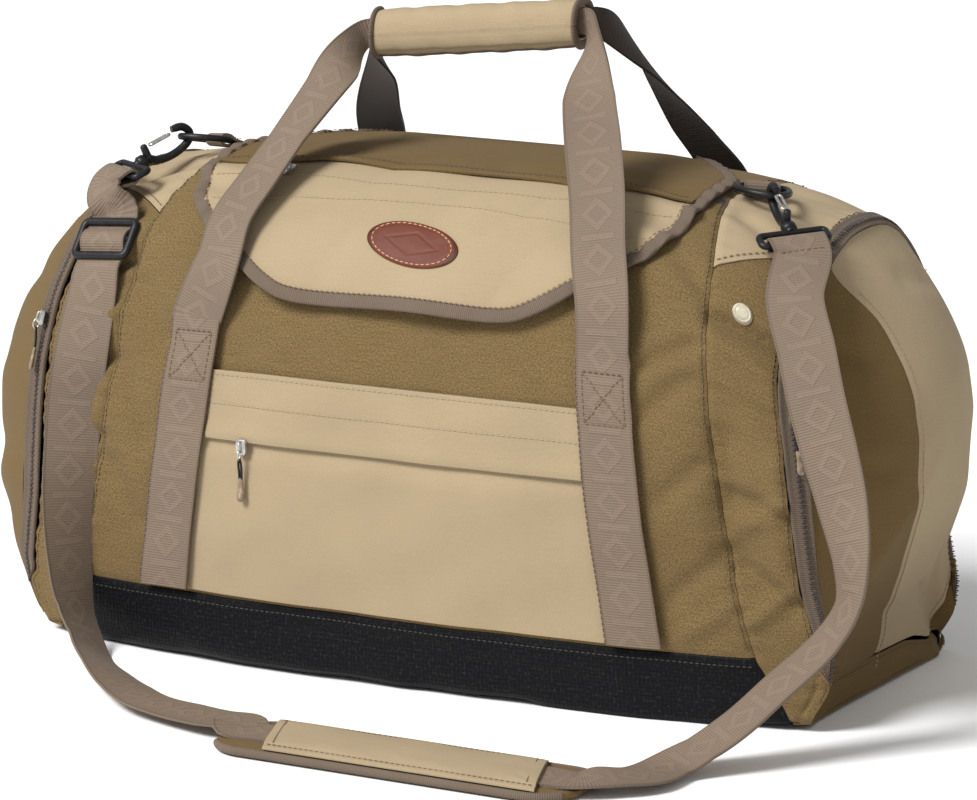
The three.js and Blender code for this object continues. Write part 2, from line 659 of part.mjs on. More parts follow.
// The padded grip, wrapped round both straps: a flat oval tube with a wall, open at its ends.
function addGrip() {
  const sides = 14;
  const stations = 6;
  const ring = (along, height, depth) => {
    const points = [];
    for (let i = 0; i < sides; i += 1) {
      const turn = (2 * Math.PI * i) / sides;
      const y = (-Math.cos(turn) * depth) / 2;
      const z = along * GRIP_TILT + (Math.sin(turn) * height) / 2;
      points.push(inBag(GRIP_CENTRE).add(new THREE.Vector3(along, y, z)));
    }
    return points;
  };
  const rings = [];
  for (let i = 0; i <= stations; i += 1) {
    const share = (2 * i) / stations - 1;
    const swell = 1 - 0.08 * share ** 4;
    rings.push(ring((share * GRIP_LENGTH) / 2, GRIP_HEIGHT * swell, GRIP_THICKNESS * swell));
  }
  for (let i = stations; i >= 0; i -= 1) {
    const share = (2 * i) / stations - 1;
    const wall = 2 * GRIP_WALL;
    rings.push(ring((share * GRIP_LENGTH) / 2, GRIP_HEIGHT * 0.92 - wall, GRIP_THICKNESS * 0.92 - wall));
  }
  const triangles = [];
  for (let r = 0; r < rings.length; r += 1)
    for (let i = 0; i < sides; i += 1) {
      const a = r * sides + i;
      const b = r * sides + ((i + 1) % sides);
      const c = ((r + 1) % rings.length) * sides + i;
      const d = ((r + 1) % rings.length) * sides + ((i + 1) % sides);
      triangles.push(a, d, b, a, c, d);
    }
  addMesh("grip", geometryOf(rings.flat(), triangles), "sand");
}

// Solids joined and cut with the boolean library.
const wasm = await Module();
wasm.setup();

function solidOf(geometry) {
  const bare = geometry.clone();
  bare.deleteAttribute("normal");
  bare.deleteAttribute("uv");
  const merged = mergeVertices(bare, 1e-4);
  const position = new Float32Array(merged.attributes.position.array);
  const triangles = new Uint32Array(merged.index.array);
  return new wasm.Manifold(new wasm.Mesh({ numProp: 3, vertProperties: position, triVerts: triangles }));
}

function joined(geometries) {
  const solid = geometries.map(solidOf).reduce((all, next) => all.add(next));
  const mesh = solid.getMesh();
  const geometry = new THREE.BufferGeometry();
  geometry.setAttribute("position", new THREE.BufferAttribute(new Float32Array(mesh.vertProperties), 3));
  geometry.setIndex(new THREE.BufferAttribute(new Uint32Array(mesh.triVerts), 1));
  return geometry;
}

// A round wire swept along a curve.
function wire(curve, diameter, steps) {
  const section = new THREE.Shape();
  const sides = 6;
  for (let i = 0; i < sides; i += 1) {
    const turn = (2 * Math.PI * i) / sides;
    const x = (Math.cos(turn) * diameter) / 2;
    const y = (Math.sin(turn) * diameter) / 2;
    if (i === 0) section.moveTo(x, y);
    else section.lineTo(x, y);
  }
  section.closePath();
  return new THREE.ExtrudeGeometry(section, { steps, extrudePath: curve });
}

function curveThrough(points, closed = false) {
  return new THREE.CatmullRomCurve3(points.map((p) => new THREE.Vector3(...p)), closed, "centripetal");
}

// A right-handed frame from a place, an along direction and an outward direction.
function frameAt(place, along, outward) {
  const x = along.clone().normalize();
  const z = outward.clone().addScaledVector(x, -outward.dot(x)).normalize();
  const y = z.clone().cross(x);
  return new THREE.Matrix4().makeBasis(x, y, z).setPosition(place);
}

// Where the shoulder strap is carried on each side: the ring's bar, and where the hook's slot comes to lie.
const CARRIERS = {
  right: { end: 1, barX: 0.728, barRound: 0.957, strapX: 0.885, strapRound: 0.868 },
  left: { end: -1, barX: 0.728, barRound: 0.957, strapX: 0.835, strapRound: 0.873 },
};
const RING_STAND = 8;
const RING_AIM = 40;
const HOOK_STAND = 17;

function standing(x, round, height) {
  const found = barrel(x, round);
  return { place: found.place.addScaledVector(found.normal, height), normal: found.normal };
}

// Frame of a D-ring: its bar along y at the origin, its round end towards the strap along x.
function ringFrame(carrier) {
  const bar = standing(carrier.end * carrier.barX * SEAM_HALF_LENGTH, carrier.barRound, RING_STAND);
  const aim = standing(carrier.end * carrier.strapX * SEAM_HALF_LENGTH, carrier.strapRound, RING_AIM);
  return frameAt(bar.place, aim.place.sub(bar.place), bar.normal);
}

// The D-ring and the folded webbing tab that holds its bar.
const TAB_WIDTH = 26;
const TAB_WALL = 2;
const TAB_TAIL = 12;
function addRing(word) {
  const frame = ringFrame(CARRIERS[word]);
  const half = RING_BAR / 2;
  const outline = curveThrough([
    [0, -half, 0],
    [0, -half * 0.4, 0],
    [0, half * 0.4, 0],
    [0, half, 0],
    [RING_REACH * 0.25, half * 1.08, 0],
    [RING_REACH * 0.75, half * 0.72, 0],
    [RING_REACH, 0, 0],
    [RING_REACH * 0.75, -half * 0.72, 0],
    [RING_REACH * 0.25, -half * 1.08, 0],
  ], true);
  addMesh(`d_ring_${word}`, closedWire(outline, RING_WIRE, 20).applyMatrix4(frame), "nylon");
  const radius = RING_WIRE / 2 + LAYER_GAP + TAB_WALL / 2;
  const turns = 6;
  const wrap = [];
  for (let i = 0; i <= turns; i += 1) {
    const turn = (Math.PI * i) / turns;
    wrap.push({ x: Math.sin(turn) * radius, z: Math.cos(turn) * radius });
  }
  const rows = [
    { x: -TAB_TAIL, z: -radius + TAB_WALL + LAYER_GAP },
    { x: -TAB_TAIL * 0.6, z: 0.5 },
    { x: -radius, z: radius * 0.8 },
    ...wrap,
    { x: -radius, z: -radius },
    { x: -TAB_TAIL, z: -radius },
  ];
  addMesh(`ring_tab_${word}`, ribbon(rows, TAB_WIDTH, TAB_WALL).applyMatrix4(frame), "taupe");
}

// A flat band that follows straight steps in the (x, z) plane, of a width along y.
function ribbon(rows, width, wall) {
  const at = (u, v) => {
    const place = v * (rows.length - 1);
    const i = Math.min(Math.floor(place), rows.length - 2);
    const from = rows[i];
    const to = rows[i + 1];
    const before = rows[Math.max(i - 1, 0)];
    const after = rows[Math.min(i + 2, rows.length - 1)];
    const share = place - i;
    const runX = THREE.MathUtils.lerp(to.x - before.x, after.x - from.x, share);
    const runZ = THREE.MathUtils.lerp(to.z - before.z, after.z - from.z, share);
    const run = Math.hypot(runX, runZ);
    const x = THREE.MathUtils.lerp(from.x, to.x, share);
    const z = THREE.MathUtils.lerp(from.z, to.z, share);
    const normal = new THREE.Vector3(-runZ / run, 0, runX / run);
    return { place: new THREE.Vector3(x, (u - 0.5) * width, z), normal };
  };
  return sheet(at, 1, rows.length - 1, -wall / 2, wall / 2);
}

// A round wire along a closed curve, as rings of points carried with the curve's own frames.
function closedWire(curve, diameter, steps) {
  const sides = 6;
  const { normals, binormals } = curve.computeFrenetFrames(steps, true);
  const vertices = [];
  for (let j = 0; j < steps; j += 1) {
    const middle = curve.getPointAt(j / steps);
    for (let i = 0; i < sides; i += 1) {
      const turn = (2 * Math.PI * i) / sides;
      const out = normals[j].clone().multiplyScalar((Math.cos(turn) * diameter) / 2);
      out.addScaledVector(binormals[j], (Math.sin(turn) * diameter) / 2);
      vertices.push(middle.clone().add(out));
    }
  }
  const triangles = [];
  for (let j = 0; j < steps; j += 1)
    for (let i = 0; i < sides; i += 1) {
      const a = j * sides + i;
      const b = j * sides + ((i + 1) % sides);
      const c = ((j + 1) % steps) * sides + i;
      const d = ((j + 1) % steps) * sides + ((i + 1) % sides);
      triangles.push(a, b, d, a, d, c);
    }
  return geometryOf(vertices, triangles);
}

// The snap hook in its own frame: x from the strap to the ring, y across the strap, z out from the bag.
// Its slot bar lies along y at x = 0, then a swivel barrel, a spine, and an arc whose tip points back.
const BARREL_DIAMETER = 11;
const BARREL_LENGTH = 12;
const HOOK_START = SLOT_FRAME / 2 + BARREL_LENGTH;
const HOOK_TIP = HOOK_START + HOOK_REACH * 0.62;
const HOOK_BACK = 5.5;
const HOOK_FRONT = HOOK_OPENING + HOOK_WIRE - HOOK_BACK;
const GATE_CLEARANCE = 0.8;
const STRAP_BAR = -SLOT_HEIGHT - SLOT_FRAME;
function hookBody() {
  const across = SLOT_LENGTH + SLOT_FRAME * 2;
  const tall = SLOT_HEIGHT + SLOT_FRAME * 2;
  const side = (SLOT_LENGTH + SLOT_FRAME) / 2;
  const frame = [
    { x: 0, y: 0, long: SLOT_FRAME, wide: across },
    { x: STRAP_BAR, y: 0, long: SLOT_FRAME, wide: across },
    { x: STRAP_BAR / 2, y: side, long: tall, wide: SLOT_FRAME },
    { x: STRAP_BAR / 2, y: -side, long: tall, wide: SLOT_FRAME },
  ].map((bar) => new THREE.BoxGeometry(bar.long, bar.wide, SLOT_FRAME).translate(bar.x, bar.y, 0));
  const swivel = new THREE.CylinderGeometry(BARREL_DIAMETER / 2, BARREL_DIAMETER / 2, BARREL_LENGTH + 1, 10);
  swivel.rotateZ(-Math.PI / 2).translate(SLOT_FRAME / 2 + BARREL_LENGTH / 2 - 0.5, 0, 0);
  const arc = curveThrough([
    [HOOK_START - 2, 0, 0],
    [HOOK_START + 2, 0, -HOOK_BACK * 0.6],
    [HOOK_START + HOOK_REACH * 0.25, 0, -HOOK_BACK],
    [HOOK_START + HOOK_REACH * 0.6, 0, -HOOK_BACK],
    [HOOK_START + HOOK_REACH * 0.9, 0, -HOOK_BACK * 0.4],
    [HOOK_START + HOOK_REACH, 0, (HOOK_FRONT - HOOK_BACK) / 2],
    [HOOK_START + HOOK_REACH * 0.9, 0, HOOK_FRONT * 0.8],
    [HOOK_TIP + GATE_CLEARANCE, 0, HOOK_FRONT],
  ]);
  const heel = new THREE.BoxGeometry(HOOK_WIRE, HOOK_WIRE * 0.8, HOOK_FRONT);
  heel.translate(HOOK_START - HOOK_WIRE / 2, 0, HOOK_FRONT * 0.5);
  return joined([...frame, swivel, wire(arc, HOOK_WIRE, 13), heel]);
}

// The spring gate: a bent wire loop hinged at the heel, closing against the tip.
const GATE_HINGE_X = HOOK_START + GATE_WIRE / 2 + GATE_CLEARANCE;
const GATE_HINGE_Z = HOOK_FRONT - GATE_WIRE;
function gateBody() {
  const half = (HOOK_WIRE - GATE_WIRE) / 2;
  const to = HOOK_TIP - GATE_WIRE;
  const middle = (GATE_HINGE_X + to) / 2;
  const outline = curveThrough([
    [GATE_HINGE_X, -half, GATE_HINGE_Z],
    [GATE_HINGE_X, half, GATE_HINGE_Z],
    [middle, half, GATE_HINGE_Z],
    [to, half * 0.8, GATE_HINGE_Z],
    [to, -half * 0.8, GATE_HINGE_Z],
    [middle, -half, GATE_HINGE_Z],
  ], true);
  return closedWire(outline, GATE_WIRE, 12);
}

// Frame of the hook on one side, hung on the round end of its ring and aimed from the strap's end.
const RING_IN_HOOK = HOOK_START + HOOK_REACH - (HOOK_WIRE + RING_WIRE) / 2 - 1;
function hookFrame(word) {
  const carrier = CARRIERS[word];
  const ring = new THREE.Vector3(RING_REACH, 0, 0).applyMatrix4(ringFrame(carrier));
  const foot = standing(carrier.end * carrier.strapX * SEAM_HALF_LENGTH, carrier.strapRound, HOOK_STAND);
  const along = ring.clone().sub(foot.place).normalize();
  const out = foot.normal.addScaledVector(along, -foot.normal.dot(along)).normalize();
  const start = ring.addScaledVector(along, -RING_IN_HOOK).addScaledVector(out, (HOOK_BACK - HOOK_FRONT) / 2);
  return frameAt(start, along, out);
}

function addHook(word) {
  const frame = hookFrame(word);
  addMesh(`snap_hook_${word}`, hookBody().applyMatrix4(frame), "nylon");
  addMesh(`hook_gate_${word}`, gateBody().applyMatrix4(frame), "steel");
}

// The strap adjuster in its own frame: x along the strap, z out; three bars in a flat frame.
const ADJUSTER_FRAME = { x: 0, y: -0.62, z: -0.78, outX: -0.15, outY: -0.78, outZ: 0.6 };
const ADJUSTER_PLACE = { x: -0.863, y: -0.744, z: 0.8204 };
const ADJUSTER_BAR = 4;
const ADJUSTER_WALL = 3;
function adjusterFrame() {
  const { x, y, z, outX, outY, outZ } = ADJUSTER_FRAME;
  const place = inBag(ADJUSTER_PLACE);
  return frameAt(place, new THREE.Vector3(x, y, z), new THREE.Vector3(outX, outY, outZ));
}

function addAdjuster() {
  const wide = SLOT_LENGTH + ADJUSTER_BAR * 2;
  const tall = ADJUSTER_PITCH * 2 + ADJUSTER_BAR;
  const side = (SLOT_LENGTH + ADJUSTER_BAR) / 2;
  const bars = [-ADJUSTER_PITCH, 0, ADJUSTER_PITCH].map((x) => {
    return new THREE.BoxGeometry(ADJUSTER_BAR, wide, ADJUSTER_WALL).translate(x, 0, 0);
  });
  const sides = [-side, side].map((y) => {
    return new THREE.BoxGeometry(tall, ADJUSTER_BAR, ADJUSTER_WALL).translate(0, y, 0);
  });
  addMesh("strap_adjuster", joined([...bars, ...sides]).applyMatrix4(adjusterFrame()), "nylon");
}

// Rows of a strap folded round the hook's slot bar: a short tail below, the fold, and the top layer.
const FOLD_RADIUS = SLOT_FRAME * Math.SQRT1_2 + LAYER_GAP + WEBBING_THICKNESS / 2;
const LAYER_RISE = WEBBING_THICKNESS / 2 + LAYER_GAP + 0.3;
function foldRows(frame, tail) {
  const turns = [-90, -45, 0, 45, 90].map((turn) => THREE.MathUtils.degToRad(turn));
  const flat = [
    { x: STRAP_BAR - tail, z: -LAYER_RISE },
    { x: STRAP_BAR - SLOT_HEIGHT * 2, z: -LAYER_RISE },
    ...turns.map((turn) => ({ x: STRAP_BAR + Math.cos(turn) * FOLD_RADIUS, z: Math.sin(turn) * FOLD_RADIUS })),
    { x: STRAP_BAR - SLOT_HEIGHT * 2, z: LAYER_RISE },
    { x: STRAP_BAR - tail * 0.7, z: LAYER_RISE },
  ];
  return flat.map((row) => localRow(frame, row.x, row.z, 1));
}

function localRow(frame, x, z, sign) {
  const place = new THREE.Vector3(x, 0, z).applyMatrix4(frame);
  const across = new THREE.Vector3(0, sign, 0).transformDirection(frame);
  return { place, across };
}

// The shoulder strap from each hook to the pad: shares of the seam half length, half depth and bag height,
// and the width direction.
const STRAP_LEFT = [
  { x: -0.863, y: -0.854, z: 0.7127, across: [-0.97, 0, 0] },
  { x: -0.89, y: -0.921, z: 0.5994, across: [-0.97, -0.1, 0] },
  { x: -0.9, y: -0.933, z: 0.5055, across: [-0.97, -0.2, 0] },
  { x: -0.9, y: -0.957, z: 0.3978, across: [-0.97, -0.24, 0] },
  { x: -0.903, y: -0.976, z: 0.2956, across: [-0.95, -0.3, 0] },
  { x: -0.903, y: -0.994, z: 0.1713, across: [-0.9, -0.45, 0] },
  { x: -0.873, y: -1.024, z: 0.0829, across: [-0.8, -0.6, 0] },
  { x: -0.807, y: -1.122, z: 0.0265, across: [-0.76, -0.65, -0.05] },
  { x: -0.71, y: -1.354, z: 0.0155, across: [-0.8, -0.6, -0.15] },
  { x: -0.587, y: -1.659, z: 0.0182, across: [-0.7, -0.7, -0.25] },
  { x: -0.463, y: -1.835, z: 0.0196, across: [-0.45, -0.9, -0.28] },
  { x: -0.347, y: -1.89, z: 0.021, across: [-0.16, -0.99, -0.25] },
  { x: -0.233, y: -1.909, z: 0.0238, across: [0, -1, -0.15] },
  { x: -0.133, y: -1.951, z: 0.0263, across: [0, -1, -0.05] },
];
const STRAP_RIGHT = [
  { x: 0.977, y: -0.732, z: 0.837, across: [-0.85, -0.5, 0] },
  { x: 1.027, y: -0.823, z: 0.7486, across: [-0.883, -0.469, 0] },
  { x: 1.083, y: -0.89, z: 0.663, across: [-0.883, -0.469, 0] },
  { x: 1.137, y: -0.927, z: 0.5718, across: [-0.883, -0.469, 0] },
  { x: 1.17, y: -0.957, z: 0.4751, across: [-0.883, -0.469, 0.1] },
  { x: 1.183, y: -1.006, z: 0.3729, across: [-0.88, -0.45, -0.1] },
  { x: 1.157, y: -1.049, z: 0.279, across: [-0.85, -0.45, -0.25] },
  { x: 1.087, y: -1.098, z: 0.1796, across: [-0.8, -0.45, -0.35] },
  { x: 1.01, y: -1.159, z: 0.0912, across: [-0.8, -0.4, -0.35] },
  { x: 0.963, y: -1.293, z: 0.0348, across: [-0.95, -0.2, -0.15] },
  { x: 0.943, y: -1.512, z: 0.0155, across: [-1, 0, 0] },
  { x: 0.933, y: -1.732, z: 0.0141, across: [-1, 0.1, 0.1] },
  { x: 0.913, y: -1.896, z: 0.0182, across: [-0.85, 0.5, 0.1] },
  { x: 0.867, y: -2.018, z: 0.0265, across: [-0.4, 0.9, 0.05] },
];

// The pad lies on the floor in front of the bag, and the strap runs on it inside a sleeve.
const PAD_PLACE = { x: 0.35, y: -2.043, turn: -0.035 };
const PAD_CORNER = 30;
const STRAP_ON_PAD = PAD_THICKNESS + LAYER_GAP + WEBBING_THICKNESS / 2;
function padFrame() {
  const place = inBag({ ...PAD_PLACE, z: 0 });
  return new THREE.Matrix4().makeRotationZ(PAD_PLACE.turn).setPosition(place);
}

function strapRows(table) {
  return table.map((row) => ({
    place: inBag(row),
    across: new THREE.Vector3(...row.across),
  }));
}

const TAIL_LENGTH = 34;
function addShoulderStrap() {
  const pad = padFrame();
  const onPad = (x, sign) => localRow(pad, x, STRAP_ON_PAD, sign);
  const shares = [-0.46, -0.36, -0.15, -0.001];
  const weave = [
    { x: -ADJUSTER_PITCH * 1.6, side: -0.6 },
    { x: -ADJUSTER_PITCH, side: -1 },
    { x: -ADJUSTER_PITCH * 0.8, side: -0.97 },
    { x: -ADJUSTER_PITCH * 0.2, side: 0.97 },
    { x: ADJUSTER_PITCH * 0.2, side: 0.97 },
    { x: ADJUSTER_PITCH * 0.8, side: -0.97 },
    { x: ADJUSTER_PITCH, side: -1 },
    { x: ADJUSTER_PITCH * 1.6, side: -0.6 },
  ];
  const clear = ADJUSTER_WALL / 2 + LAYER_GAP + WEBBING_THICKNESS / 2 + 0.2;
  const adjuster = adjusterFrame();
  const woven = weave.map((row) => localRow(adjuster, row.x, row.side * clear, -1));
  const left = [
    ...foldRows(hookFrame("left"), TAIL_LENGTH * 0.8),
    ...woven,
    ...strapRows(STRAP_LEFT),
    ...shares.map((share) => onPad(share * PAD_LENGTH, -1)),
  ];
  strap("shoulder_strap_left", "taupe", left, 2);
  const right = [
    ...foldRows(hookFrame("right"), TAIL_LENGTH),
    ...strapRows(STRAP_RIGHT),
    ...shares.map((share) => onPad(-share * PAD_LENGTH, 1)),
  ];
  strap("shoulder_strap_right", "taupe", right, 2);
}

const SLEEVE_SLANT = 14;
const SLEEVE_PROFILE = [
  { across: -1, rise: 0 },
  { across: -0.92, rise: 0.75 },
  { across: -0.75, rise: 1 },
  { across: 0, rise: 1.15 },
  { across: 0.75, rise: 1 },
  { across: 0.92, rise: 0.75 },
  { across: 1, rise: 0 },
];
const SLEEVE_RISE = 3.6;
function addPad() {
  const base = new THREE.Shape();
  const x = PAD_LENGTH / 2 - PAD_CORNER;
  const y = PAD_WIDTH / 2 - PAD_CORNER;
  base.absarc(x, y, PAD_CORNER, 0, Math.PI / 2);
  base.absarc(-x, y, PAD_CORNER, Math.PI / 2, Math.PI);
  base.absarc(-x, -y, PAD_CORNER, Math.PI, Math.PI * 1.5);
  base.absarc(x, -y, PAD_CORNER, Math.PI * 1.5, Math.PI * 2);
  const plate = new THREE.ExtrudeGeometry(base, { depth: PAD_THICKNESS, bevelEnabled: false, curveSegments: 6 });
  addMesh("pad_base", joined([plate]).applyMatrix4(padFrame()), "olive");
  const half = PAD_WIDTH / 2 - SLEEVE_WALL;
  const at = (u, v) => {
    const i = Math.min(Math.floor(u * (SLEEVE_PROFILE.length - 1)), SLEEVE_PROFILE.length - 2);
    const share = u * (SLEEVE_PROFILE.length - 1) - i;
    const from = SLEEVE_PROFILE[i];
    const to = SLEEVE_PROFILE[i + 1];
    const across = THREE.MathUtils.lerp(from.across, to.across, share);
    const rise = THREE.MathUtils.lerp(from.rise, to.rise, share) * SLEEVE_RISE;
    const end = (2 * v - 1) * (SLEEVE_LENGTH / 2) - across * SLEEVE_SLANT;
    const level = PAD_THICKNESS + LAYER_GAP + SLEEVE_WALL + rise;
    const lean = new THREE.Vector3(0, across * across * across * 0.8, 1).normalize();
    return { place: new THREE.Vector3(end, across * half, level), normal: lean };
  };
  const sleeve = sheet(at, SLEEVE_PROFILE.length - 1, 8, -SLEEVE_WALL, 0);
  addMesh("pad_sleeve", sleeve.applyMatrix4(padFrame()), "sand");
}

// A small thing standing on the skin: an oval or round plate between two heights, bent to the surface.
function addPlate(name, finish, spot, size, inner, outer, lift) {
  const at = (u, v) => {
    const a = 2 * u - 1;
    const b = 2 * v - 1;
    const tilt = spot.tilt ?? 0;
    const across = (size.x / 2) * a * Math.sqrt(1 - (b * b) / 2);
    const up = (size.y / 2) * b * Math.sqrt(1 - (a * a) / 2);
    const x = spot.x * SEAM_HALF_LENGTH + across * Math.cos(tilt) - up * Math.sin(tilt);
    const round = spot.round + (across * Math.sin(tilt) + up * Math.cos(tilt)) / HALF_GIRTH;
    const found = barrel(x, round);
    found.place.addScaledVector(found.normal, lift(round));
    return found;
  };
  addMesh(name, sheet(at, 6, 4, inner, outer), finish);
}

const PATCH_SPOT = { x: 0.01, round: 0.765, tilt: -0.14 };
const PATCH_WALL = 1.8;
const STUD_SPOT = { x: 0.837, round: 0.761 };
const STUD_HEIGHT = 3;
function addPatchAndStud() {
  const under = CLOTH + LAYER_GAP * 2;
  const size = { x: PATCH_LENGTH, y: PATCH_WIDTH };
  addPlate("leather_patch", "leather", PATCH_SPOT, size, under, under + PATCH_WALL, lidOffset);
  const round = { x: STUD_DIAMETER, y: STUD_DIAMETER };
  addPlate("snap_stud", "cream", STUD_SPOT, round, LAYER_GAP, STUD_HEIGHT, () => 0);
}

// A zip's slider, and the cord and tab that hang from it. Each hangs down the surface from its slider.
const SLIDER = { long: 11, wide: 8, tall: 3.5 };
const POCKET_SLIDER = { x: -0.393, round: 0.516, stand: PLACKET_OUT + LAYER_GAP };
const MAIN_SLIDER = { x: -0.413, round: 0.858, stand: 3.9 };
const TAB = { long: 17, wide: 7, tall: 3 };
const CORD = 2.6;
function addSlider(name, frame) {
  const slider = new THREE.BoxGeometry(SLIDER.long, SLIDER.wide, SLIDER.tall);
  slider.translate(0, 0, SLIDER.tall / 2);
  addMesh(`slider_${name}`, slider.applyMatrix4(frame), "steel");
}

function addPull(name, frame) {
  const reach = PULL_LENGTH - TAB.long;
  const start = SLIDER.long / 2 + LAYER_GAP;
  const level = SLIDER.tall / 2;
  const cord = new THREE.BoxGeometry(reach + 2, CORD, CORD).translate(start + reach / 2 + 1, 0, level);
  const tab = new THREE.BoxGeometry(TAB.long, TAB.wide, TAB.tall);
  tab.translate(start + reach + TAB.long / 2, 0, level);
  addMesh(`pull_${name}`, joined([cord, tab]).applyMatrix4(frame), "nylon");
}

// A frame on the skin of the middle of the bag, with x down the surface.
function spotFrame(spot) {
  const x = spot.x * SEAM_HALF_LENGTH;
  const found = standing(x, spot.round, spot.stand);
  const down = barrelPoint(x, spot.round - STEP_ROUND).sub(barrelPoint(x, spot.round));
  return frameAt(found.place, down, found.normal);
}

const END_SLIDER_ROUND = 0.66;
function addPulls() {
  addSlider("pocket", spotFrame(POCKET_SLIDER));
  addPull("pocket", spotFrame(POCKET_SLIDER));
  addSlider("main", spotFrame(MAIN_SLIDER));
  for (const [word, shape] of Object.entries(ENDS)) {
    const on = (round) => barrel(shape.end * zipReach(shape.end, round), round);
    const spot = on(END_SLIDER_ROUND);
    const out = spot.normal.clone().add(new THREE.Vector3(shape.end, 0, 0)).normalize();
    const place = spot.place.clone().addScaledVector(out, LAYER_GAP * 4);
    const down = on(END_SLIDER_ROUND - PULL_LENGTH / HALF_GIRTH).place.sub(spot.place);
    addSlider(`end_${word}`, frameAt(place, down, out));
    addPull(`end_${word}`, frameAt(place, down, out));
  }
}

addMiddle();
for (const [word, shape] of Object.entries(ENDS)) {
  addGusset(word, shape);
  addEndZip(word, shape);
  addEnd(word, shape);
  addRing(word);
  addHook(word);
}
addPocket();
addLid();
addHandStraps();
addGrip();
addAdjuster();
addShoulderStrap();
addPad();
addPatchAndStud();
addPulls();

export default bag;
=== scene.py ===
"""Dresses the travel bag: sewn panels with folds, webbing, zips, hooks, a padded grip and a strap pad."""

import math

import bpy
import numpy as np
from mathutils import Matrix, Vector


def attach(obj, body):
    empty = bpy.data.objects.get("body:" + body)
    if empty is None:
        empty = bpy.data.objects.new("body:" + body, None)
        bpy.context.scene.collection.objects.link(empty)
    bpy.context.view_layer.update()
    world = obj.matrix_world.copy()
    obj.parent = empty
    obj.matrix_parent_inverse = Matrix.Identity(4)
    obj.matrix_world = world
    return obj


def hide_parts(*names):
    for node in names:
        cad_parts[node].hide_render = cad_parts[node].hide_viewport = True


bl_info = {
    "name": "Travel bag",
    "version": (1, 0, 0),
    "blender": (4, 5, 0),
    "location": "3D View > Sidebar > Bag",
    "description": "Builds a canvas travel bag around its packed frame",
    "category": "Object",
}

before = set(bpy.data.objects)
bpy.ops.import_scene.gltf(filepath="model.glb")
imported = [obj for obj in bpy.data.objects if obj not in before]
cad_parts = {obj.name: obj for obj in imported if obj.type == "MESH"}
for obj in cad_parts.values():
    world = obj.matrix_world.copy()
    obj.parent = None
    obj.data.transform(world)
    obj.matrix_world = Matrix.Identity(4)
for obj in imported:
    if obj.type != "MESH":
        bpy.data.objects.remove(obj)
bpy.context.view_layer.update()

# Lengths are in millimetres until a mesh is written.
MM = 0.001
BAG_DEPTH = 328
BAG_HEIGHT = 362
WAIST = 165
HALF_LENGTH = 300
HALF_DEPTH = BAG_DEPTH / 2
BOTTOM_LIFT = 5
PLAN_TAPER = 0.17
DOME_POWER = 2.1
CLOTH = 2.0
ZIP_HALF = 8
TOOTH_PITCH = 1.8
SEAM_GAP = 0.4
ZIP_GAP = 1.2
WEBBING = 40
WEB_WALL = 1.8
BINDING = 10
LID_STAND = 1.5
LID_LIFT = 6
POCKET_OUT = 2.35
PLACKET_OUT = 4.7

# Half section of the bag: shares of the half depth and of the height.
SECTION = [
    (0, 0), (0.45, 0), (0.86, 0), (0.945, 0.012), (0.975, 0.05), (0.99, 0.15), (1, 0.3), (1, 0.46),
    (0.975, 0.61), (0.905, 0.755), (0.76, 0.885), (0.52, 0.965), (0.26, 0.995), (0, 1),
]
# Top line: share of the half length, share of the height above the waist.
CROWN = [(0, 1), (0.35, 1), (0.66, 0.965), (0.78, 0.93), (0.9, 0.885), (1.15, 0.87)]
# Girth share, then the reach of the gusset seam, the right end's zip and the left end's zip.
SEAMS = [
    (0, 1, 1.012, 1.012), (0.2, 1, 1.012, 1.012), (0.25, 0.99, 1.03, 1.03), (0.29, 0.96, 1.08, 1.08),
    (0.33, 0.91, 1.09, 1.1), (0.41, 0.868, 1.045, 1.075), (0.5, 0.83, 1.02, 1.06), (0.6, 0.8, 1, 1.045),
    (0.7, 0.772, 0.968, 1.015), (0.8, 0.745, 0.957, 0.96), (0.88, 0.702, 0.958, 0.942),
    (0.94, 0.675, 0.96, 0.946), (1, 0.667, 0.962, 0.95),
]
# Per end: sign, height of the crown, peak of the bulge and droop of the top corner.
ENDS = {"right": (1, 205, 362, 0.17, 2), "left": (-1, 152, 396, 0.05, 3)}
BASE_EDGE = 0.33
BASE_CORNER = 0.25
MAIN_ZIP = (0.905, 0.93)
BEIGE_SEAM = 0.8
BEIGE_ZIP = 0.868
END_ZIP_LOW = 0.322
END_ZIP_FOOT = 0.298
PLACKET = (0.521, 0.602)
LID_JOIN = 0.876
BAND_AT_ZIP = (0.872, 1.2)
POCKET = [(0.335, 0.575), (0.45, 0.535), (0.57, 0.505), (0.602, 0.498)]
STRAP_SEWN = [(0.336, 0.632), (0.42, 0.607), (0.5, 0.58), (0.57, 0.562), (0.62, 0.548), (0.66, 0.54)]
LID_OUTLINE = [
    (0.688, 0), (0.688, 0.3), (0.7, 0.365), (0.728, 0.452), (0.785, 0.6), (0.83, 0.65),
    (0.87, 0.66), (0.94, 0.662), (0.98, 0.65), (1.02, 0.6), (1.06, 0.53), (1.12, 0.44),
]
# Height share, then the band's front edge ahead of the middle and its back edge behind it.
END_BAND = [
    (0, 0.08, 0.72), (0.058, -0.06, 0.75), (0.1, -0.14, 0.77), (0.21, -0.034, 0.78), (0.296, 0.107, 0.76),
    (0.37, 0.19, 0.74), (0.446, 0.265, 0.7), (0.559, 0.284, 0.66), (0.68, 0.293, 0.62), (0.773, 0.311, 0.6),
    (0.807, 0.338, 0.59), (0.844, 0.387, 0.58), (0.871, 0.4, 0.57), (1, 0.42, 0.55),
]
END_BOTTOM = [(0, 0.062), (0.4, 0.058), (0.6, 0.04), (1, 0.03)]

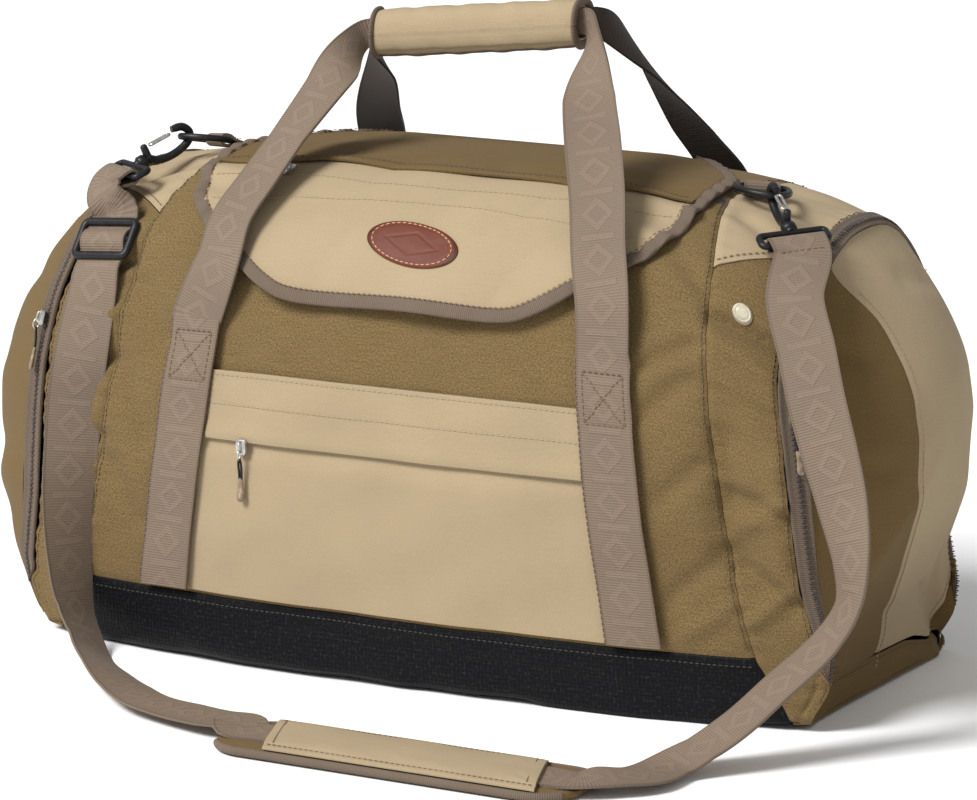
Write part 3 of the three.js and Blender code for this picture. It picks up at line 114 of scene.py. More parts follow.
# Creases in the cloth: x and girth of both ends, width and height in millimetres.
CREASES = np.array([
    (226, 0.738, 288, 0.748, 6, -5.5), (232, 0.712, 286, 0.700, 9, 3.5), (236, 0.655, 288, 0.640, 9, -2.5),
    (247, 0.62, 262, 0.42, 13, -5), (284, 0.60, 296, 0.40, 10, 3), (250, 0.52, 302, 0.485, 7, -4),
    (262, 0.44, 305, 0.385, 7, -4), (268, 0.37, 308, 0.415, 7, 3), (256, 0.475, 300, 0.51, 8, 3),
    (227, 0.705, 186, 0.655, 7, -3.2), (229, 0.665, 190, 0.60, 8, -2.6), (238, 0.56, 204, 0.50, 8, -2.2),
    (252, 0.45, 212, 0.385, 8, -2.4), (262, 0.39, 222, 0.35, 7, 2), (228, 0.76, 196, 0.80, 7, -2.5),
    (-226, 0.71, -186, 0.63, 9, -3), (-234, 0.61, -204, 0.50, 9, -2.6), (-246, 0.48, -214, 0.40, 9, -2.4),
    (-230, 0.735, -286, 0.715, 8, -5), (-236, 0.665, -292, 0.64, 9, 3.5), (-240, 0.61, -300, 0.585, 9, -5),
    (-258, 0.56, -270, 0.38, 13, 1.2), (-250, 0.505, -306, 0.47, 8, -4), (-262, 0.42, -312, 0.375, 7, -4),
    (216, 0.90, 280, 0.855, 8, -3), (222, 0.97, 282, 0.94, 10, -2.5), (-214, 0.92, -276, 0.875, 9, -3.5),
    (-218, 0.98, -276, 0.95, 10, -3), (-226, 0.80, -280, 0.82, 7, -3),
    (-280, 0.20, -60, 0.215, 9, -2.5), (-200, 0.27, 40, 0.26, 10, 2.2), (20, 0.29, 250, 0.275, 9, -2.2),
    (90, 0.235, 262, 0.245, 8, 2.4), (-120, 0.315, 60, 0.30, 8, -1.8), (180, 0.31, 282, 0.29, 7, -2),
])
BACK_CREASES = CREASES * np.array([1, -1, 1, -1, 1, 0.8]) + np.array([0, 2, 0, 2, 0, 0])


def lerp(a, b, share):
    """A value part of the way from a to b."""
    return a + (b - a) * share


def smooth_step(value, low, high):
    """0 below low, 1 above high, and an even S between them."""
    share = np.clip((value - low) / (high - low), 0, 1)
    return share * share * (3 - 2 * share)


def unit(vectors):
    """Vectors scaled to length 1."""
    return vectors / np.maximum(np.linalg.norm(vectors, axis=-1, keepdims=True), 1e-12)


def reader(rows, column=1, blur=0.012):
    """A table as a smooth function: straight lines between its rows, softened by a short running mean."""
    table = np.array(rows, float)
    keys = np.linspace(table[0, 0], table[-1, 0], 1200)
    values = np.interp(keys, table[:, 0], table[:, column])
    wide = max(int(blur * 1200 / (table[-1, 0] - table[0, 0])), 1)
    kernel = np.hanning(2 * wide + 3)[1:-1]
    padded = np.pad(values, wide, mode="edge")
    soft = np.convolve(padded, kernel / kernel.sum(), mode="valid")
    return lambda place: np.interp(place, keys, soft)


def curve_through(points, steps, closed=False):
    """Centripetal Catmull-Rom curve through points, resampled at even steps of its length."""
    return resample(catmull(points, closed), steps)


def catmull(points, closed=False):
    """Centripetal Catmull-Rom curve with forty places between two points."""
    knots = np.array(points, float)
    if closed:
        knots = np.concatenate([knots[-1:], knots, knots[:2]])
    else:
        knots = np.concatenate([2 * knots[:1] - knots[1:2], knots, 2 * knots[-1:] - knots[-2:-1]])
    gaps = np.sqrt(np.maximum(np.linalg.norm(np.diff(knots, axis=0), axis=1), 1e-6))
    time = np.concatenate([[0], np.cumsum(gaps)])
    spans = len(knots) - 3
    place = np.linspace(0, spans, spans * 40 + 1)
    i = np.minimum(place.astype(int), spans - 1)
    share = (place - i)[:, None]
    t0, t1, t2, t3 = (time[i + k][:, None] for k in range(4))
    p0, p1, p2, p3 = (knots[i + k] for k in range(4))
    t = t1 + (t2 - t1) * share
    a1 = (t1 - t) / (t1 - t0) * p0 + (t - t0) / (t1 - t0) * p1
    a2 = (t2 - t) / (t2 - t1) * p1 + (t - t1) / (t2 - t1) * p2
    a3 = (t3 - t) / (t3 - t2) * p2 + (t - t2) / (t3 - t2) * p3
    b1 = (t2 - t) / (t2 - t0) * a1 + (t - t0) / (t2 - t0) * a2
    b2 = (t3 - t) / (t3 - t1) * a2 + (t - t1) / (t3 - t1) * a3
    return (t2 - t) / (t2 - t1) * b1 + (t - t1) / (t2 - t1) * b2


def resample(dense, steps):
    """The same path in even steps along its length."""
    run = np.concatenate([[0], np.cumsum(np.linalg.norm(np.diff(dense, axis=0), axis=1))])
    even = np.linspace(0, run[-1], steps + 1)
    return np.stack([np.interp(even, run, dense[:, k]) for k in range(dense.shape[1])], -1)


def length_of(path):
    """Length of a path through its points."""
    return float(np.linalg.norm(np.diff(path, axis=0), axis=1).sum())


# The skin of the bag
_section = curve_through([(d * HALF_DEPTH, h * BAG_HEIGHT) for d, h in SECTION], 1600)
HALF_GIRTH = length_of(_section)
_girths = np.linspace(0, 1, len(_section))
crown_rise = reader(CROWN, blur=0.04)
seam_share = reader(SEAMS, 1)
zip_share = {end: reader(SEAMS, column) for end, (_, _, _, _, column) in ENDS.items()}


def girth_of(w):
    """Girth from the base's middle to the top, 0 to 1, and the side: -1 in front, 1 behind."""
    w = np.mod(w, 2)
    return np.where(w <= 1, w, 2 - w), np.where(w <= 1, -1.0, 1.0)


def seam_reach(w):
    """Reach in x of the seam between the middle and a gusset."""
    return HALF_LENGTH * seam_share(girth_of(w)[0])


def zip_reach(end, w):
    """Reach of an end's zip. At the back of the right end its lower corner is drawn in."""
    girth, side = girth_of(w)
    drawn_in = smooth_step(girth, 0.2, 0.27) * (1 - smooth_step(girth, 0.45, 0.62))
    return HALF_LENGTH * (zip_share[end](girth) - (0.065 if end == "right" else 0) * (side > 0) * drawn_in)


def skin(x, w):
    """The middle of the bag: the half section at girth w, narrowed towards the ends with the cube of x,
    its part above the waist scaled to the top line and lowered at the outer corners."""
    girth, side = girth_of(w)
    depth = np.interp(girth, _girths, _section[:, 0])
    height = np.interp(girth, _girths, _section[:, 1])
    share = np.abs(x) / HALF_LENGTH
    droop = np.where(x > 0, ENDS["right"][3], ENDS["left"][3])
    ending = np.clip((share - 0.6) / 0.4, 0, 1.2) ** 2
    lifting = np.clip((share - 0.84) / 0.26, 0, 2) ** 2
    above = np.maximum(height - WAIST, 0)
    below = np.clip(1 - height / WAIST, 0, 1)
    y = side * depth * (1 - PLAN_TAPER * share ** 3)
    z = np.minimum(height, WAIST) + above * crown_rise(share) + BOTTOM_LIFT * lifting * below
    z = z - droop * ending * BAG_HEIGHT * above / (BAG_HEIGHT - WAIST) * (depth / HALF_DEPTH) ** 2
    return np.stack([x + 0 * w, y, z], -1)


def crease_height(x, w):
    """Sum of creases: each a bell across its line, faded past its two ends, plus slow swells of the cloth."""
    height = np.zeros(np.broadcast(x, w).shape)
    for rows in (CREASES, BACK_CREASES):
        for x0, w0, x1, w1, wide, high in rows:
            ax, ay = x0, w0 * HALF_GIRTH
            bx, by = x1 - x0, (w1 - w0) * HALF_GIRTH
            run = bx * bx + by * by
            px, py = x - ax, w * HALF_GIRTH - ay
            along = (px * bx + py * by) / run
            beyond = np.maximum(np.abs(along - 0.5) - 0.34, 0) * math.sqrt(run)
            bend = 0.12 * wide * np.sin(along * 5 + x0)
            across = (px * by - py * bx) / math.sqrt(run) + bend
            height += high * np.exp(-(across / wide) ** 2 - (beyond / (wide * 1.6)) ** 2)
    s = w * HALF_GIRTH
    height += 0.8 * np.sin(x / 31 + s / 57) * np.sin(s / 38 - x / 83)
    height += 0.45 * np.sin(x / 13.7 - s / 23 + 1.3) * np.sin(s / 17 + x / 41)
    return height * bpy.context.scene.bag_sizes.fold_depth


def valley(distance, wide=2.6, deep=1.7):
    """Seam valley: a bell of the distance from a seam, pulled inwards."""
    return -deep * np.exp(-(distance / wide) ** 2)


def pucker(distance, along, pitch=15.0, high=0.7, reach=11.0):
    """Puckers by a seam: waves along it that fade away from it."""
    wave = np.sin(2 * np.pi * along / pitch + 1.1 * np.sin(along / 37)) + 0.5 * np.sin(along / 5.1 + 2)
    return high * wave * np.exp(-distance / reach)


def edge_relief(x, w):
    """Valleys and puckers along the gusset seams, the base edge and the zip lines."""
    s = w * HALF_GIRTH
    girth, _ = girth_of(w)
    seam = np.abs(np.abs(x) - seam_reach(w))
    rows = np.abs(girth - BASE_EDGE) * HALF_GIRTH
    inside = np.abs(x) < seam_reach(w) + 1
    total = valley(seam) + pucker(seam, s) + np.where(inside, valley(rows, 2.2, 1.3), 0)
    for end, (sign, *_rest) in ENDS.items():
        line = np.abs(sign * x - zip_reach(end, w) + ZIP_HALF + ZIP_GAP)
        near = np.where(x * sign > 0, 1.0, 0.0)
        total = total + near * (valley(line, 2.4, 1.2) + pucker(line, s, 13, 0.6, 9))
    return total


def grid_normals(points):
    """Normals of a grid of points, from the differences along its rows and columns."""
    return unit(np.cross(np.gradient(points, axis=1), np.gradient(points, axis=0)))


def outward(points, normals, centre=(0, 0, 180)):
    """Normals turned away from the middle of the bag."""
    away = points - np.array(centre, float)
    flip = np.sign(np.sum(away * normals, axis=(-1)).mean())
    return normals * (flip if flip else 1)


def raised(points, height):
    """Points moved out along the normals of their own grid."""
    normals = outward(points, grid_normals(points))
    return points + normals * np.asarray(height)[..., None], normals


def skin_grid(x, w, height=0.0, relief=True):
    """The skin at a grid of x and girth with its creases, raised by a height, and its normals."""
    bare = skin(x, w)
    folds = crease_height(x, w) + (edge_relief(x, w) if relief else 0)
    return raised(bare, folds + height)


# The rounded ends
def _end_rim(end):
    """The rim of a rounded end: its points, and their turn about the height of the crown."""
    sign, crown, _, _, _ = ENDS[end]
    w = np.linspace(0, 2, 1441)
    rim = skin(sign * zip_reach(end, w), w)
    turn = np.unwrap(np.arctan2(-rim[:, 1], crown - rim[:, 2]))
    return turn - turn[0], rim


RIMS = {end: _end_rim(end) for end in ENDS}


# Per end: height, and how far the cloth sags in from the even curve there.
SAG = {
    "right": [
        (0, -38), (35, -38), (55, -32), (80, -26), (100, -19), (144, -7),
        (189, -2), (233, -1), (278, -5), (300, -7), (322, -11), (362, -16),
    ],
    "left": [
        (0, 0), (41, 1), (64, 5), (86, 6), (108, 8), (130, 11), (153, 11),
        (175, 10), (197, 8), (219, 4), (264, 5), (310, 1), (362, 0),
    ],
}
sag = {end: reader(SAG[end], blur=14) for end in SAG}


def dome(end, y, z):
    """The rounded end as a height over (y, z): from the rim's x to the peak by 1 - r to the power 2.1,
    where r is the share of the way from the crown to the rim, less the sag times 1 - r to the power 6."""
    sign, crown, peak, _, _ = ENDS[end]
    turns, rim = RIMS[end]
    turn = np.mod(np.arctan2(-y, crown - z), 2 * np.pi)
    edge = np.stack([np.interp(turn, turns, rim[:, k]) for k in range(3)], -1)
    reach = np.hypot(edge[..., 1], edge[..., 2] - crown)
    radial = np.minimum(np.hypot(y, z - crown) / reach, 1)
    rim_x = np.abs(edge[..., 0])
    x = rim_x + (peak - rim_x) * (1 - radial ** DOME_POWER) + sag[end](z) * (1 - radial ** 6)
    return np.stack([sign * x, y, z], -1)


def inside_rim(end, w, length):
    """A place (y, z) that lies a length inside the rim, measured over the rounded end."""
    sign, crown, peak, _, _ = ENDS[end]
    rim = skin(sign * zip_reach(end, w), w)
    reach = np.hypot(rim[..., 1], rim[..., 2] - crown)
    slope = np.hypot(reach, DOME_POWER * (peak - np.abs(rim[..., 0])))
    radial = 1 - length / slope
    return rim[..., 1] * radial, crown + (rim[..., 2] - crown) * radial


# Shape and mesh helpers
def lay_mesh(name, points, faces, material, uv, sharp=50):
    """As lay_faces, from arrays."""
    points, uv = np.asarray(points).reshape(-1, 3), np.asarray(uv).reshape(-1, 2)
    return lay_faces(name, points, np.asarray(faces).tolist(), uv, material, sharp)


def grid_faces(rows, columns, start=0, wrap_rows=False, wrap_columns=False):
    """Quads between the points of a grid, closed round its rows or columns where asked."""
    index = np.arange(rows * columns).reshape(rows, columns) + start
    if wrap_rows:
        index = np.concatenate([index, index[:1]])
    if wrap_columns:
        index = np.concatenate([index, index[:, :1]], axis=1)
    return np.stack([index[:-1, :-1], index[:-1, 1:], index[1:, 1:], index[1:, :-1]], -1).reshape(-1, 4)


def shell_parts(outer, inner, uv):
    """A closed sheet: an outer grid, an inner grid, and quads that join their borders."""
    rows, columns = outer.shape[:2]
    count = rows * columns
    top = grid_faces(rows, columns)
    below = grid_faces(rows, columns, count)[:, ::-1]
    index = np.arange(count).reshape(rows, columns)
    border = np.concatenate([index[0, :-1], index[:-1, -1], index[-1, :0:-1], index[:0:-1, 0]])
    after = np.roll(border, -1)
    rim = np.stack([border, border + count, after + count, after], -1)
    faces = np.concatenate([top, below, rim])
    r, c = rows // 2, columns // 2
    face_normal = np.cross(outer[r, c] - outer[r, c - 1], outer[r, c] - outer[r - 1, c])
    if np.dot(face_normal, (outer - inner)[r, c]) < 0:
        faces = faces[:, ::-1]
    points = np.concatenate([outer.reshape(-1, 3), inner.reshape(-1, 3)])
    coords = np.concatenate([np.asarray(uv).reshape(-1, 2)] * 2)
    return points, faces, coords


def shell(name, outer, inner, uv, material):
    """A closed sheet as an object."""
    points, faces, coords = shell_parts(outer, inner, uv)
    return lay_mesh(name, points, faces, material, coords)


def join_parts(parts):
    """Joins lists of points, faces and coordinates into one."""
    starts = np.cumsum([0] + [len(p[0]) for p in parts[:-1]])
    points = np.concatenate([p[0] for p in parts])
    faces = np.concatenate([p[1] + start for p, start in zip(parts, starts)])
    coords = np.concatenate([p[2] for p in parts])
    return points, faces, coords


def tangents(path, closed=False):
    """Directions along a path."""
    if closed:
        return unit(np.roll(path, -1, 0) - np.roll(path, 1, 0))
    return unit(np.gradient(path, axis=0))


class Pile:
    """Points, faces and cloth coordinates gathered into one mesh."""

    def __init__(self):
        self.points, self.faces, self.uv, self.count = [], [], [], 0

    def add(self, points, groups, uv):
        for group in groups:
            self.faces += (np.asarray(group) + self.count).tolist()
        self.points.append(points)
        self.uv.append(uv)
        self.count += len(points)
        return self

    def tube(self, path, radius, up, sides=16, closed=False, flat=1.0):
        """A round wire: a circle carried along a path, kept upright by one fixed direction."""
        path = np.asarray(path, float)
        ahead = tangents(path, closed)
        side = unit(np.cross(np.array(up, float), ahead))
        rise = np.cross(ahead, side)
        turn = np.linspace(0, 2 * np.pi, sides, endpoint=False)
        size = np.broadcast_to(np.asarray(radius, float), (len(path),))[:, None, None]
        ring = np.cos(turn)[None, :, None] * side[:, None] + flat * np.sin(turn)[None, :, None] * rise[:, None]
        points = (path[:, None] + ring * size).reshape(-1, 3)
        run = np.concatenate([[0], np.cumsum(np.linalg.norm(np.diff(path, axis=0), axis=1))])
        uv = np.stack(np.broadcast_arrays(turn[None] * np.mean(size), run[:, None]), -1).reshape(-1, 2)
        groups = [grid_faces(len(path), sides, wrap_rows=closed, wrap_columns=True)]
        if not closed:
            first = np.arange(sides)
            last = first + (len(path) - 1) * sides
            middle = np.full(sides, len(points))
            groups.append(np.stack([np.roll(first, -1), first, middle], -1))
            groups.append(np.stack([last, np.roll(last, -1), middle + 1], -1))
            points = np.concatenate([points, path[:1], path[-1:]])
            uv = np.concatenate([uv, uv[:1], uv[-1:]])
        return self.add(points, groups, uv)

    def lay(self, name, material, sharp=50):
        return lay_faces(name, np.concatenate(self.points), self.faces, np.concatenate(self.uv), material, sharp)


def lay_faces(name, points, faces, uv, material, sharp=50):
    """Writes points in millimetres, faces and their cloth coordinates to a mesh object at the origin."""
    mesh = bpy.data.meshes.new(name)
    mesh.from_pydata((points * MM).tolist(), [], faces)
    layer = mesh.uv_layers.new(name="cloth")
    corner = np.zeros(len(mesh.loops), int)
    mesh.loops.foreach_get("vertex_index", corner)
    layer.data.foreach_set("uv", (uv[corner] * MM).ravel())
    mesh.shade_smooth()
    mesh.set_sharp_from_angle(angle=math.radians(sharp))
    mesh.materials.append(material)
    made = bpy.data.objects.new(name, mesh)
    bpy.context.scene.collection.objects.link(made)
    return made


def block_parts(centre, along, across, up, size, round_share=0.22, levels=(-1, -0.72, 0.72, 1)):
    """Rounded blocks: a cube's corners and edges pulled in by a share, at many places at once.
    Each is a loft of rings along its length, the end rings smaller."""
    levels, rings = np.array(levels), len(levels)
    shrink = np.where(np.abs(levels) == 1, 1 - round_share, 1)
    corners = np.array([(-1, -0.7), (-0.7, -1), (0.7, -1), (1, -0.7), (1, 0.7), (0.7, 1), (-0.7, 1), (-1, 0.7)])
    local = np.stack([
        np.repeat(levels, 8),
        np.tile(corners[:, 0], rings) * np.repeat(shrink, 8),
        np.tile(corners[:, 1], rings) * np.repeat(shrink, 8),
    ], -1) * np.array(size) / 2
    axes = np.stack([along, across, up], -2)
    points = centre[:, None] + np.einsum("kj,njc->nkc", local, axes)
    sides = grid_faces(rings, 8, wrap_columns=True)
    caps = np.array([(0, 1, 2, 3), (0, 3, 4, 7), (4, 5, 6, 7)])
    quads = np.concatenate([sides[:, ::-1], caps, (caps + 8 * (rings - 1))[:, ::-1]])
    count = len(centre)
    faces = (quads[None] + 8 * rings * np.arange(count)[:, None, None]).reshape(-1, 4)
    points = points.reshape(-1, 3)
    return points, faces, points[:, :2] * 1.0


def stitch_parts(path, normals, length, pitch, wide=0.9, high=0.7, lift=0.15):
    """A row of stitches: short threads laid end to end along a path, bowed over the cloth."""
    run = np.concatenate([[0], np.cumsum(np.linalg.norm(np.diff(path, axis=0), axis=1))])
    count = max(int(run[-1] / pitch), 1)
    places = (np.arange(count) + 0.5) * run[-1] / count
    middle = np.stack([np.interp(places, run, path[:, k]) for k in range(3)], -1)
    up = unit(np.stack([np.interp(places, run, normals[:, k]) for k in range(3)], -1))
    ahead = tangents(path)
    along = unit(np.stack([np.interp(places, run, ahead[:, k]) for k in range(3)], -1))
    across = np.cross(up, along)
    return block_parts(middle + up * lift, along, across, up, (length, wide, high), 0.6, (-1, 0, 1))


def stitches(name, rows, material):
    """One object of stitch rows. A row is (path, normals)."""
    sizes = bpy.context.scene.bag_sizes
    length, pitch = sizes.stitch_length, sizes.stitch_length + sizes.stitch_gap
    parts = join_parts([stitch_parts(path, normals, length, pitch) for path, normals in rows])
    return lay_mesh(name, *parts[:2], material, parts[2])


def keep(piece, body, slot, *nodes):
    """The piece rides on a body and stands for CAD nodes. The slot is not used."""
    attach(piece, body)
    if nodes:
        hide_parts(*nodes)
    return piece


# Materials
class Value:
    """A socket with the arithmetic of Math nodes."""

    def __init__(self, finish, socket):
        self.finish = finish
        self.socket = socket

    def math(self, operation, *others):
        return self.finish.node("ShaderNodeMath", {"operation": operation}, dict(enumerate((self, *others))))

    def __add__(self, other):
        return self.math("ADD", other)

    __radd__ = __add__

    def __mul__(self, other):
        return self.math("MULTIPLY", other)

    __rmul__ = __mul__

    def __sub__(self, other):
        return self.math("SUBTRACT", other)

    def __rsub__(self, other):
        return self * -1 + other

    def __pow__(self, other):
        return self.math("POWER", other)

    def sin(self):
        return self.math("SINE")

    def size(self):
        return self.math("ABSOLUTE")

    def above(self, limit, soft):
        """0 to 1 as the value rises past a limit, over a soft width."""
        settings = {"interpolation_type": "SMOOTHSTEP"}
        limits = {0: self, 1: limit - soft, 2: limit + soft, 3: 0.0, 4: 1.0}
        return self.finish.node("ShaderNodeMapRange", settings, limits)

    def wave(self, pitch):
        """0 to 1 and back once each pitch."""
        return (self * (2 * math.pi / pitch)).sin() * 0.5 + 0.5


class Finish:
    """A material made by expressions."""

    def __init__(self, name, **sockets):
        self.material = bpy.data.materials.new(name)
        self.material.use_nodes = True
        self.tree = self.material.node_tree
        self.shader = self.tree.nodes["Principled BSDF"]
        for key, value in sockets.items():
            self.feed(self.shader.inputs[key.replace("_", " ")], value)

    def feed(self, socket, value):
        if isinstance(value, Value):
            self.tree.links.new(value.socket, socket)
        else:
            socket.default_value = value

    def node(self, kind, settings=None, inputs=None, output=0):
        """A node of a kind, its settings first, then the values or links of its sockets."""
        made = self.tree.nodes.new(kind)
        for key, value in (settings or {}).items():
            setattr(made, key, value)
        for key, value in (inputs or {}).items():
            self.feed(made.inputs[key], value)
        return Value(self, made.outputs[output])

    def axes(self, source="cloth"):
        """Coordinates in millimetres: of the piece's own cloth, or of the object."""
        if source == "cloth":
            vector = self.node("ShaderNodeUVMap", {"uv_map": "cloth"})
        else:
            vector = self.node("ShaderNodeTexCoord", output=3)
        parts = [self.node("ShaderNodeSeparateXYZ", inputs={0: vector}, output=k) for k in range(3)]
        return [part * (1 / MM) for part in parts]

    def noise(self, x, y, z=0.0, detail=2.0, rough=0.5):
        place = self.node("ShaderNodeCombineXYZ", inputs={0: x, 1: y, 2: z})
        inputs = {"Vector": place, "Scale": 1.0, "Detail": detail, "Roughness": rough}
        return self.node("ShaderNodeTexNoise", inputs=inputs)

    def mix(self, factor, first, second):
        return self.node("ShaderNodeMix", {"data_type": "RGBA"}, {0: factor, 6: first, 7: second}, 2)

    def bump(self, height, strength, distance):
        inputs = {"Height": height, "Strength": strength, "Distance": distance * MM}
        return self.node("ShaderNodeBump", inputs=inputs)

    def set(self, **values):
        for key, value in values.items():
            self.feed(self.shader.inputs[key.replace("_", " ")], value)
        return self.material


def shade(colour, by):
    """A colour made lighter or darker by a factor."""
    return (*[min(channel * by, 1) for channel in colour[:3]], 1)


def canvas(name, colour, pitch, speckle, contrast):
    """Plain weave: crossed streaks of lighter and darker thread, a fine weave relief and slow soiling."""
    f = Finish(name, Roughness=0.92, Sheen_Weight=0.05, Sheen_Roughness=0.5)
    f.shader.inputs["Specular IOR Level"].default_value = 0.12
    u, v, _ = f.axes()
    warp = f.noise(u * (1 / pitch), v * (0.38 / pitch), detail=1.0)
    weft = f.noise(u * (0.38 / pitch), v * (1 / pitch), 7.0, detail=1.0)
    slub = f.noise(u * 0.05, v * 1.1, 3.0, detail=2.0)
    slow = f.noise(u * 0.012, v * 0.012, 1.0, detail=3.0, rough=0.6)
    threads = (warp + weft + slub * 0.4) * (1 / 2.4)
    tone = (threads - 0.5) * contrast + 0.5
    base = f.mix(tone.above(0.5, 0.34), shade(colour, 1 - speckle), shade(colour, 1 + speckle))
    base = f.mix(slow.above(0.5, 0.3) * 0.35, base, shade(colour, 0.78))
    weave = u.wave(pitch * 1.6) * v.wave(pitch * 1.6) + threads * 1.4
    return f.set(Base_Color=base, Normal=f.bump(weave, 0.5, 0.35), Roughness=0.94 - threads * 0.1)


def webbing(name, colour, pattern):
    """Ribbed webbing: ribs across the band, thick selvedges, and a woven row of bars and lozenges."""
    f = Finish(name, Roughness=0.7, Sheen_Weight=0.04, Sheen_Roughness=0.4)
    f.shader.inputs["Specular IOR Level"].default_value = 0.15
    u, v, _ = f.axes()
    rib = v.wave(1.9)
    grain = f.noise(u * 0.9, v * 2.2, detail=2.0)
    slow = f.noise(u * 0.02, v * 0.015, 2.0, detail=2.0)
    base = f.mix(rib * 0.5 + grain * 0.5, shade(colour, 0.7), shade(colour, 1.2))
    base = f.mix(slow.above(0.5, 0.25) * 0.4, base, shade(colour, 0.75))
    height = rib * 0.7 + grain * 0.3
    if pattern:
        step = f.node("ShaderNodeMath", {"operation": "PINGPONG"}, {0: v, 1: 17.0})
        spot = 1 - (u.size() * (1 / 12.0) + step * (1 / 13.0)).above(1.0, 0.08)
        hole = 1 - (u.size() * (1 / 6.5) + step * (1 / 6.5)).above(1.0, 0.12)
        bar = step.above(14.6, 0.5) * (1 - u.size().above(12.0, 0.5))
        woven = (spot - hole + bar).above(0.5, 0.2)
        satin = f.noise(u * 2.4, v * 0.5, 5.0, detail=1.0)
        raised_thread = f.mix(satin, shade(colour, 0.86), shade(colour, 1.4))
        base = f.mix(woven * 0.5, base, raised_thread)
        height = height + woven * (0.7 + satin * 0.8)
    edge = u.size().above(18.3, 0.5)
    base = f.mix(edge * 0.5, base, shade(colour, 0.62))
    return f.set(Base_Color=base, Normal=f.bump(height + edge * 0.6, 0.65, 0.5), Roughness=0.74 - grain * 0.15)


def grosgrain(name, colour):
    """Bound edge: close ribs across a narrow tape."""
    f = Finish(name, Roughness=0.75, Sheen_Weight=0.04, Sheen_Roughness=0.4)
    f.shader.inputs["Specular IOR Level"].default_value = 0.15
    u, v, _ = f.axes()
    rib = v.wave(1.5)
    grain = f.noise(u * 1.5, v * 1.5, detail=2.0)
    slow = f.noise(u * 0.03, v * 0.03, detail=2.0)
    base = f.mix(rib * 0.6 + grain * 0.4, shade(colour, 0.55), shade(colour, 1.2))
    base = f.mix(slow.above(0.5, 0.2) * 0.35, base, shade(colour, 0.7))
    return f.set(Base_Color=base, Normal=f.bump(rib + grain * 0.4, 0.7, 0.45))


def tarpaulin(name, colour):
    """Coated cloth: a square grid of threads under a glossy coat, brighter on the threads."""
    f = Finish(name, Roughness=0.45)
    f.shader.inputs["Specular IOR Level"].default_value = 0.08
    u, v, _ = f.axes()
    grid = (u.wave(3.1) ** 3.0) * 0.5 + (v.wave(3.1) ** 3.0) * 0.5
    slow = f.noise(u * 0.02, v * 0.03, detail=3.0)
    dust = f.noise(u * 0.4, v * 0.4, 4.0, detail=3.0)
    base = f.mix(grid * 0.6, colour, shade(colour, 2.6))
    base = f.mix(dust.above(0.62, 0.1) * 0.08, base, (0.16, 0.15, 0.15, 1))
    return f.set(Base_Color=base, Roughness=0.34 + slow * 0.25, Normal=f.bump(grid + slow * 2, 0.55, 0.4))


def moulded(name, colour):
    """Moulded black nylon: a faint grain and rubbed, lighter edges."""
    f = Finish(name, Roughness=0.38)
    f.shader.inputs["Specular IOR Level"].default_value = 0.3
    x, y, z = f.axes("object")
    grain = f.noise(x * 1.1, y * 1.1, z * 1.1, detail=3.0)
    wear = f.noise(x * 0.25, y * 0.25, z * 0.25, detail=2.0)
    base = f.mix(wear.above(0.58, 0.1) * 0.5, colour, shade(colour, 2.6))
    return f.set(Base_Color=base, Roughness=0.3 + grain * 0.25, Normal=f.bump(grain, 0.12, 0.2))


def nickel(name, colour):
    """Worn nickel: bright metal with fine scratches and darker hollows."""
    f = Finish(name, Metallic=1.0)
    x, y, z = f.axes("object")
    scratch = f.noise(x * 0.4, y * 0.4, z * 3.0, detail=3.0)
    stain = f.noise(x * 0.3, y * 0.3, z * 0.3, detail=2.0)
    base = f.mix(stain.above(0.55, 0.15) * 0.6, colour, shade(colour, 0.5))
    return f.set(Base_Color=base, Roughness=0.2 + scratch * 0.3, Normal=f.bump(scratch, 0.1, 0.1))


def hide(name, colour):
    """Vegetable-tanned hide: pores, a few dark creases and a burnished, darker border."""
    f = Finish(name, Roughness=0.55)
    f.shader.inputs["Specular IOR Level"].default_value = 0.25
    u, v, _ = f.axes()
    pores = f.noise(u * 2.2, v * 2.2, detail=3.0)
    marbling = f.noise(u * 0.12, v * 0.2, 5.0, detail=4.0, rough=0.65)
    border = ((u * (1 / 36.0)) ** 2.0 + (v * (1 / 19.0)) ** 2.0).above(0.86, 0.1)
    base = f.mix(marbling, shade(colour, 0.7), shade(colour, 1.3))
    base = f.mix(border * 0.65, base, shade(colour, 0.4))
    return f.set(Base_Color=base, Roughness=0.4 + pores * 0.25, Normal=f.bump(pores + marbling, 0.3, 0.3))


def thread(name, colour):
    """Sewing thread: two plies that twist along the piece."""
    f = Finish(name, Roughness=0.65)
    x, y, z = f.axes("object")
    ply = (x + y + z).wave(1.1)
    base = f.mix(ply, shade(colour, 0.7), shade(colour, 1.2))
    return f.set(Base_Color=base)


def enamel(name, colour):
    """Enamelled cap: a soft gloss with a few rubbed spots."""
    f = Finish(name, Roughness=0.4)
    x, y, z = f.axes("object")
    rub = f.noise(x * 0.5, y * 0.5, z * 0.5, detail=3.0)
    base = f.mix(rub.above(0.6, 0.2) * 0.3, colour, (0.16, 0.13, 0.09, 1))
    return f.set(Base_Color=base)


def paper(name, colour):
    """Studio floor: an even pale sheet with the faintest mottling."""
    f = Finish(name, Roughness=0.95)
    x, y, _ = f.axes("object")
    mottle = f.noise(x * 0.002, y * 0.002, detail=2.0)
    return f.set(Base_Color=f.mix(mottle, shade(colour, 0.985), colour))


FINISHES = {}


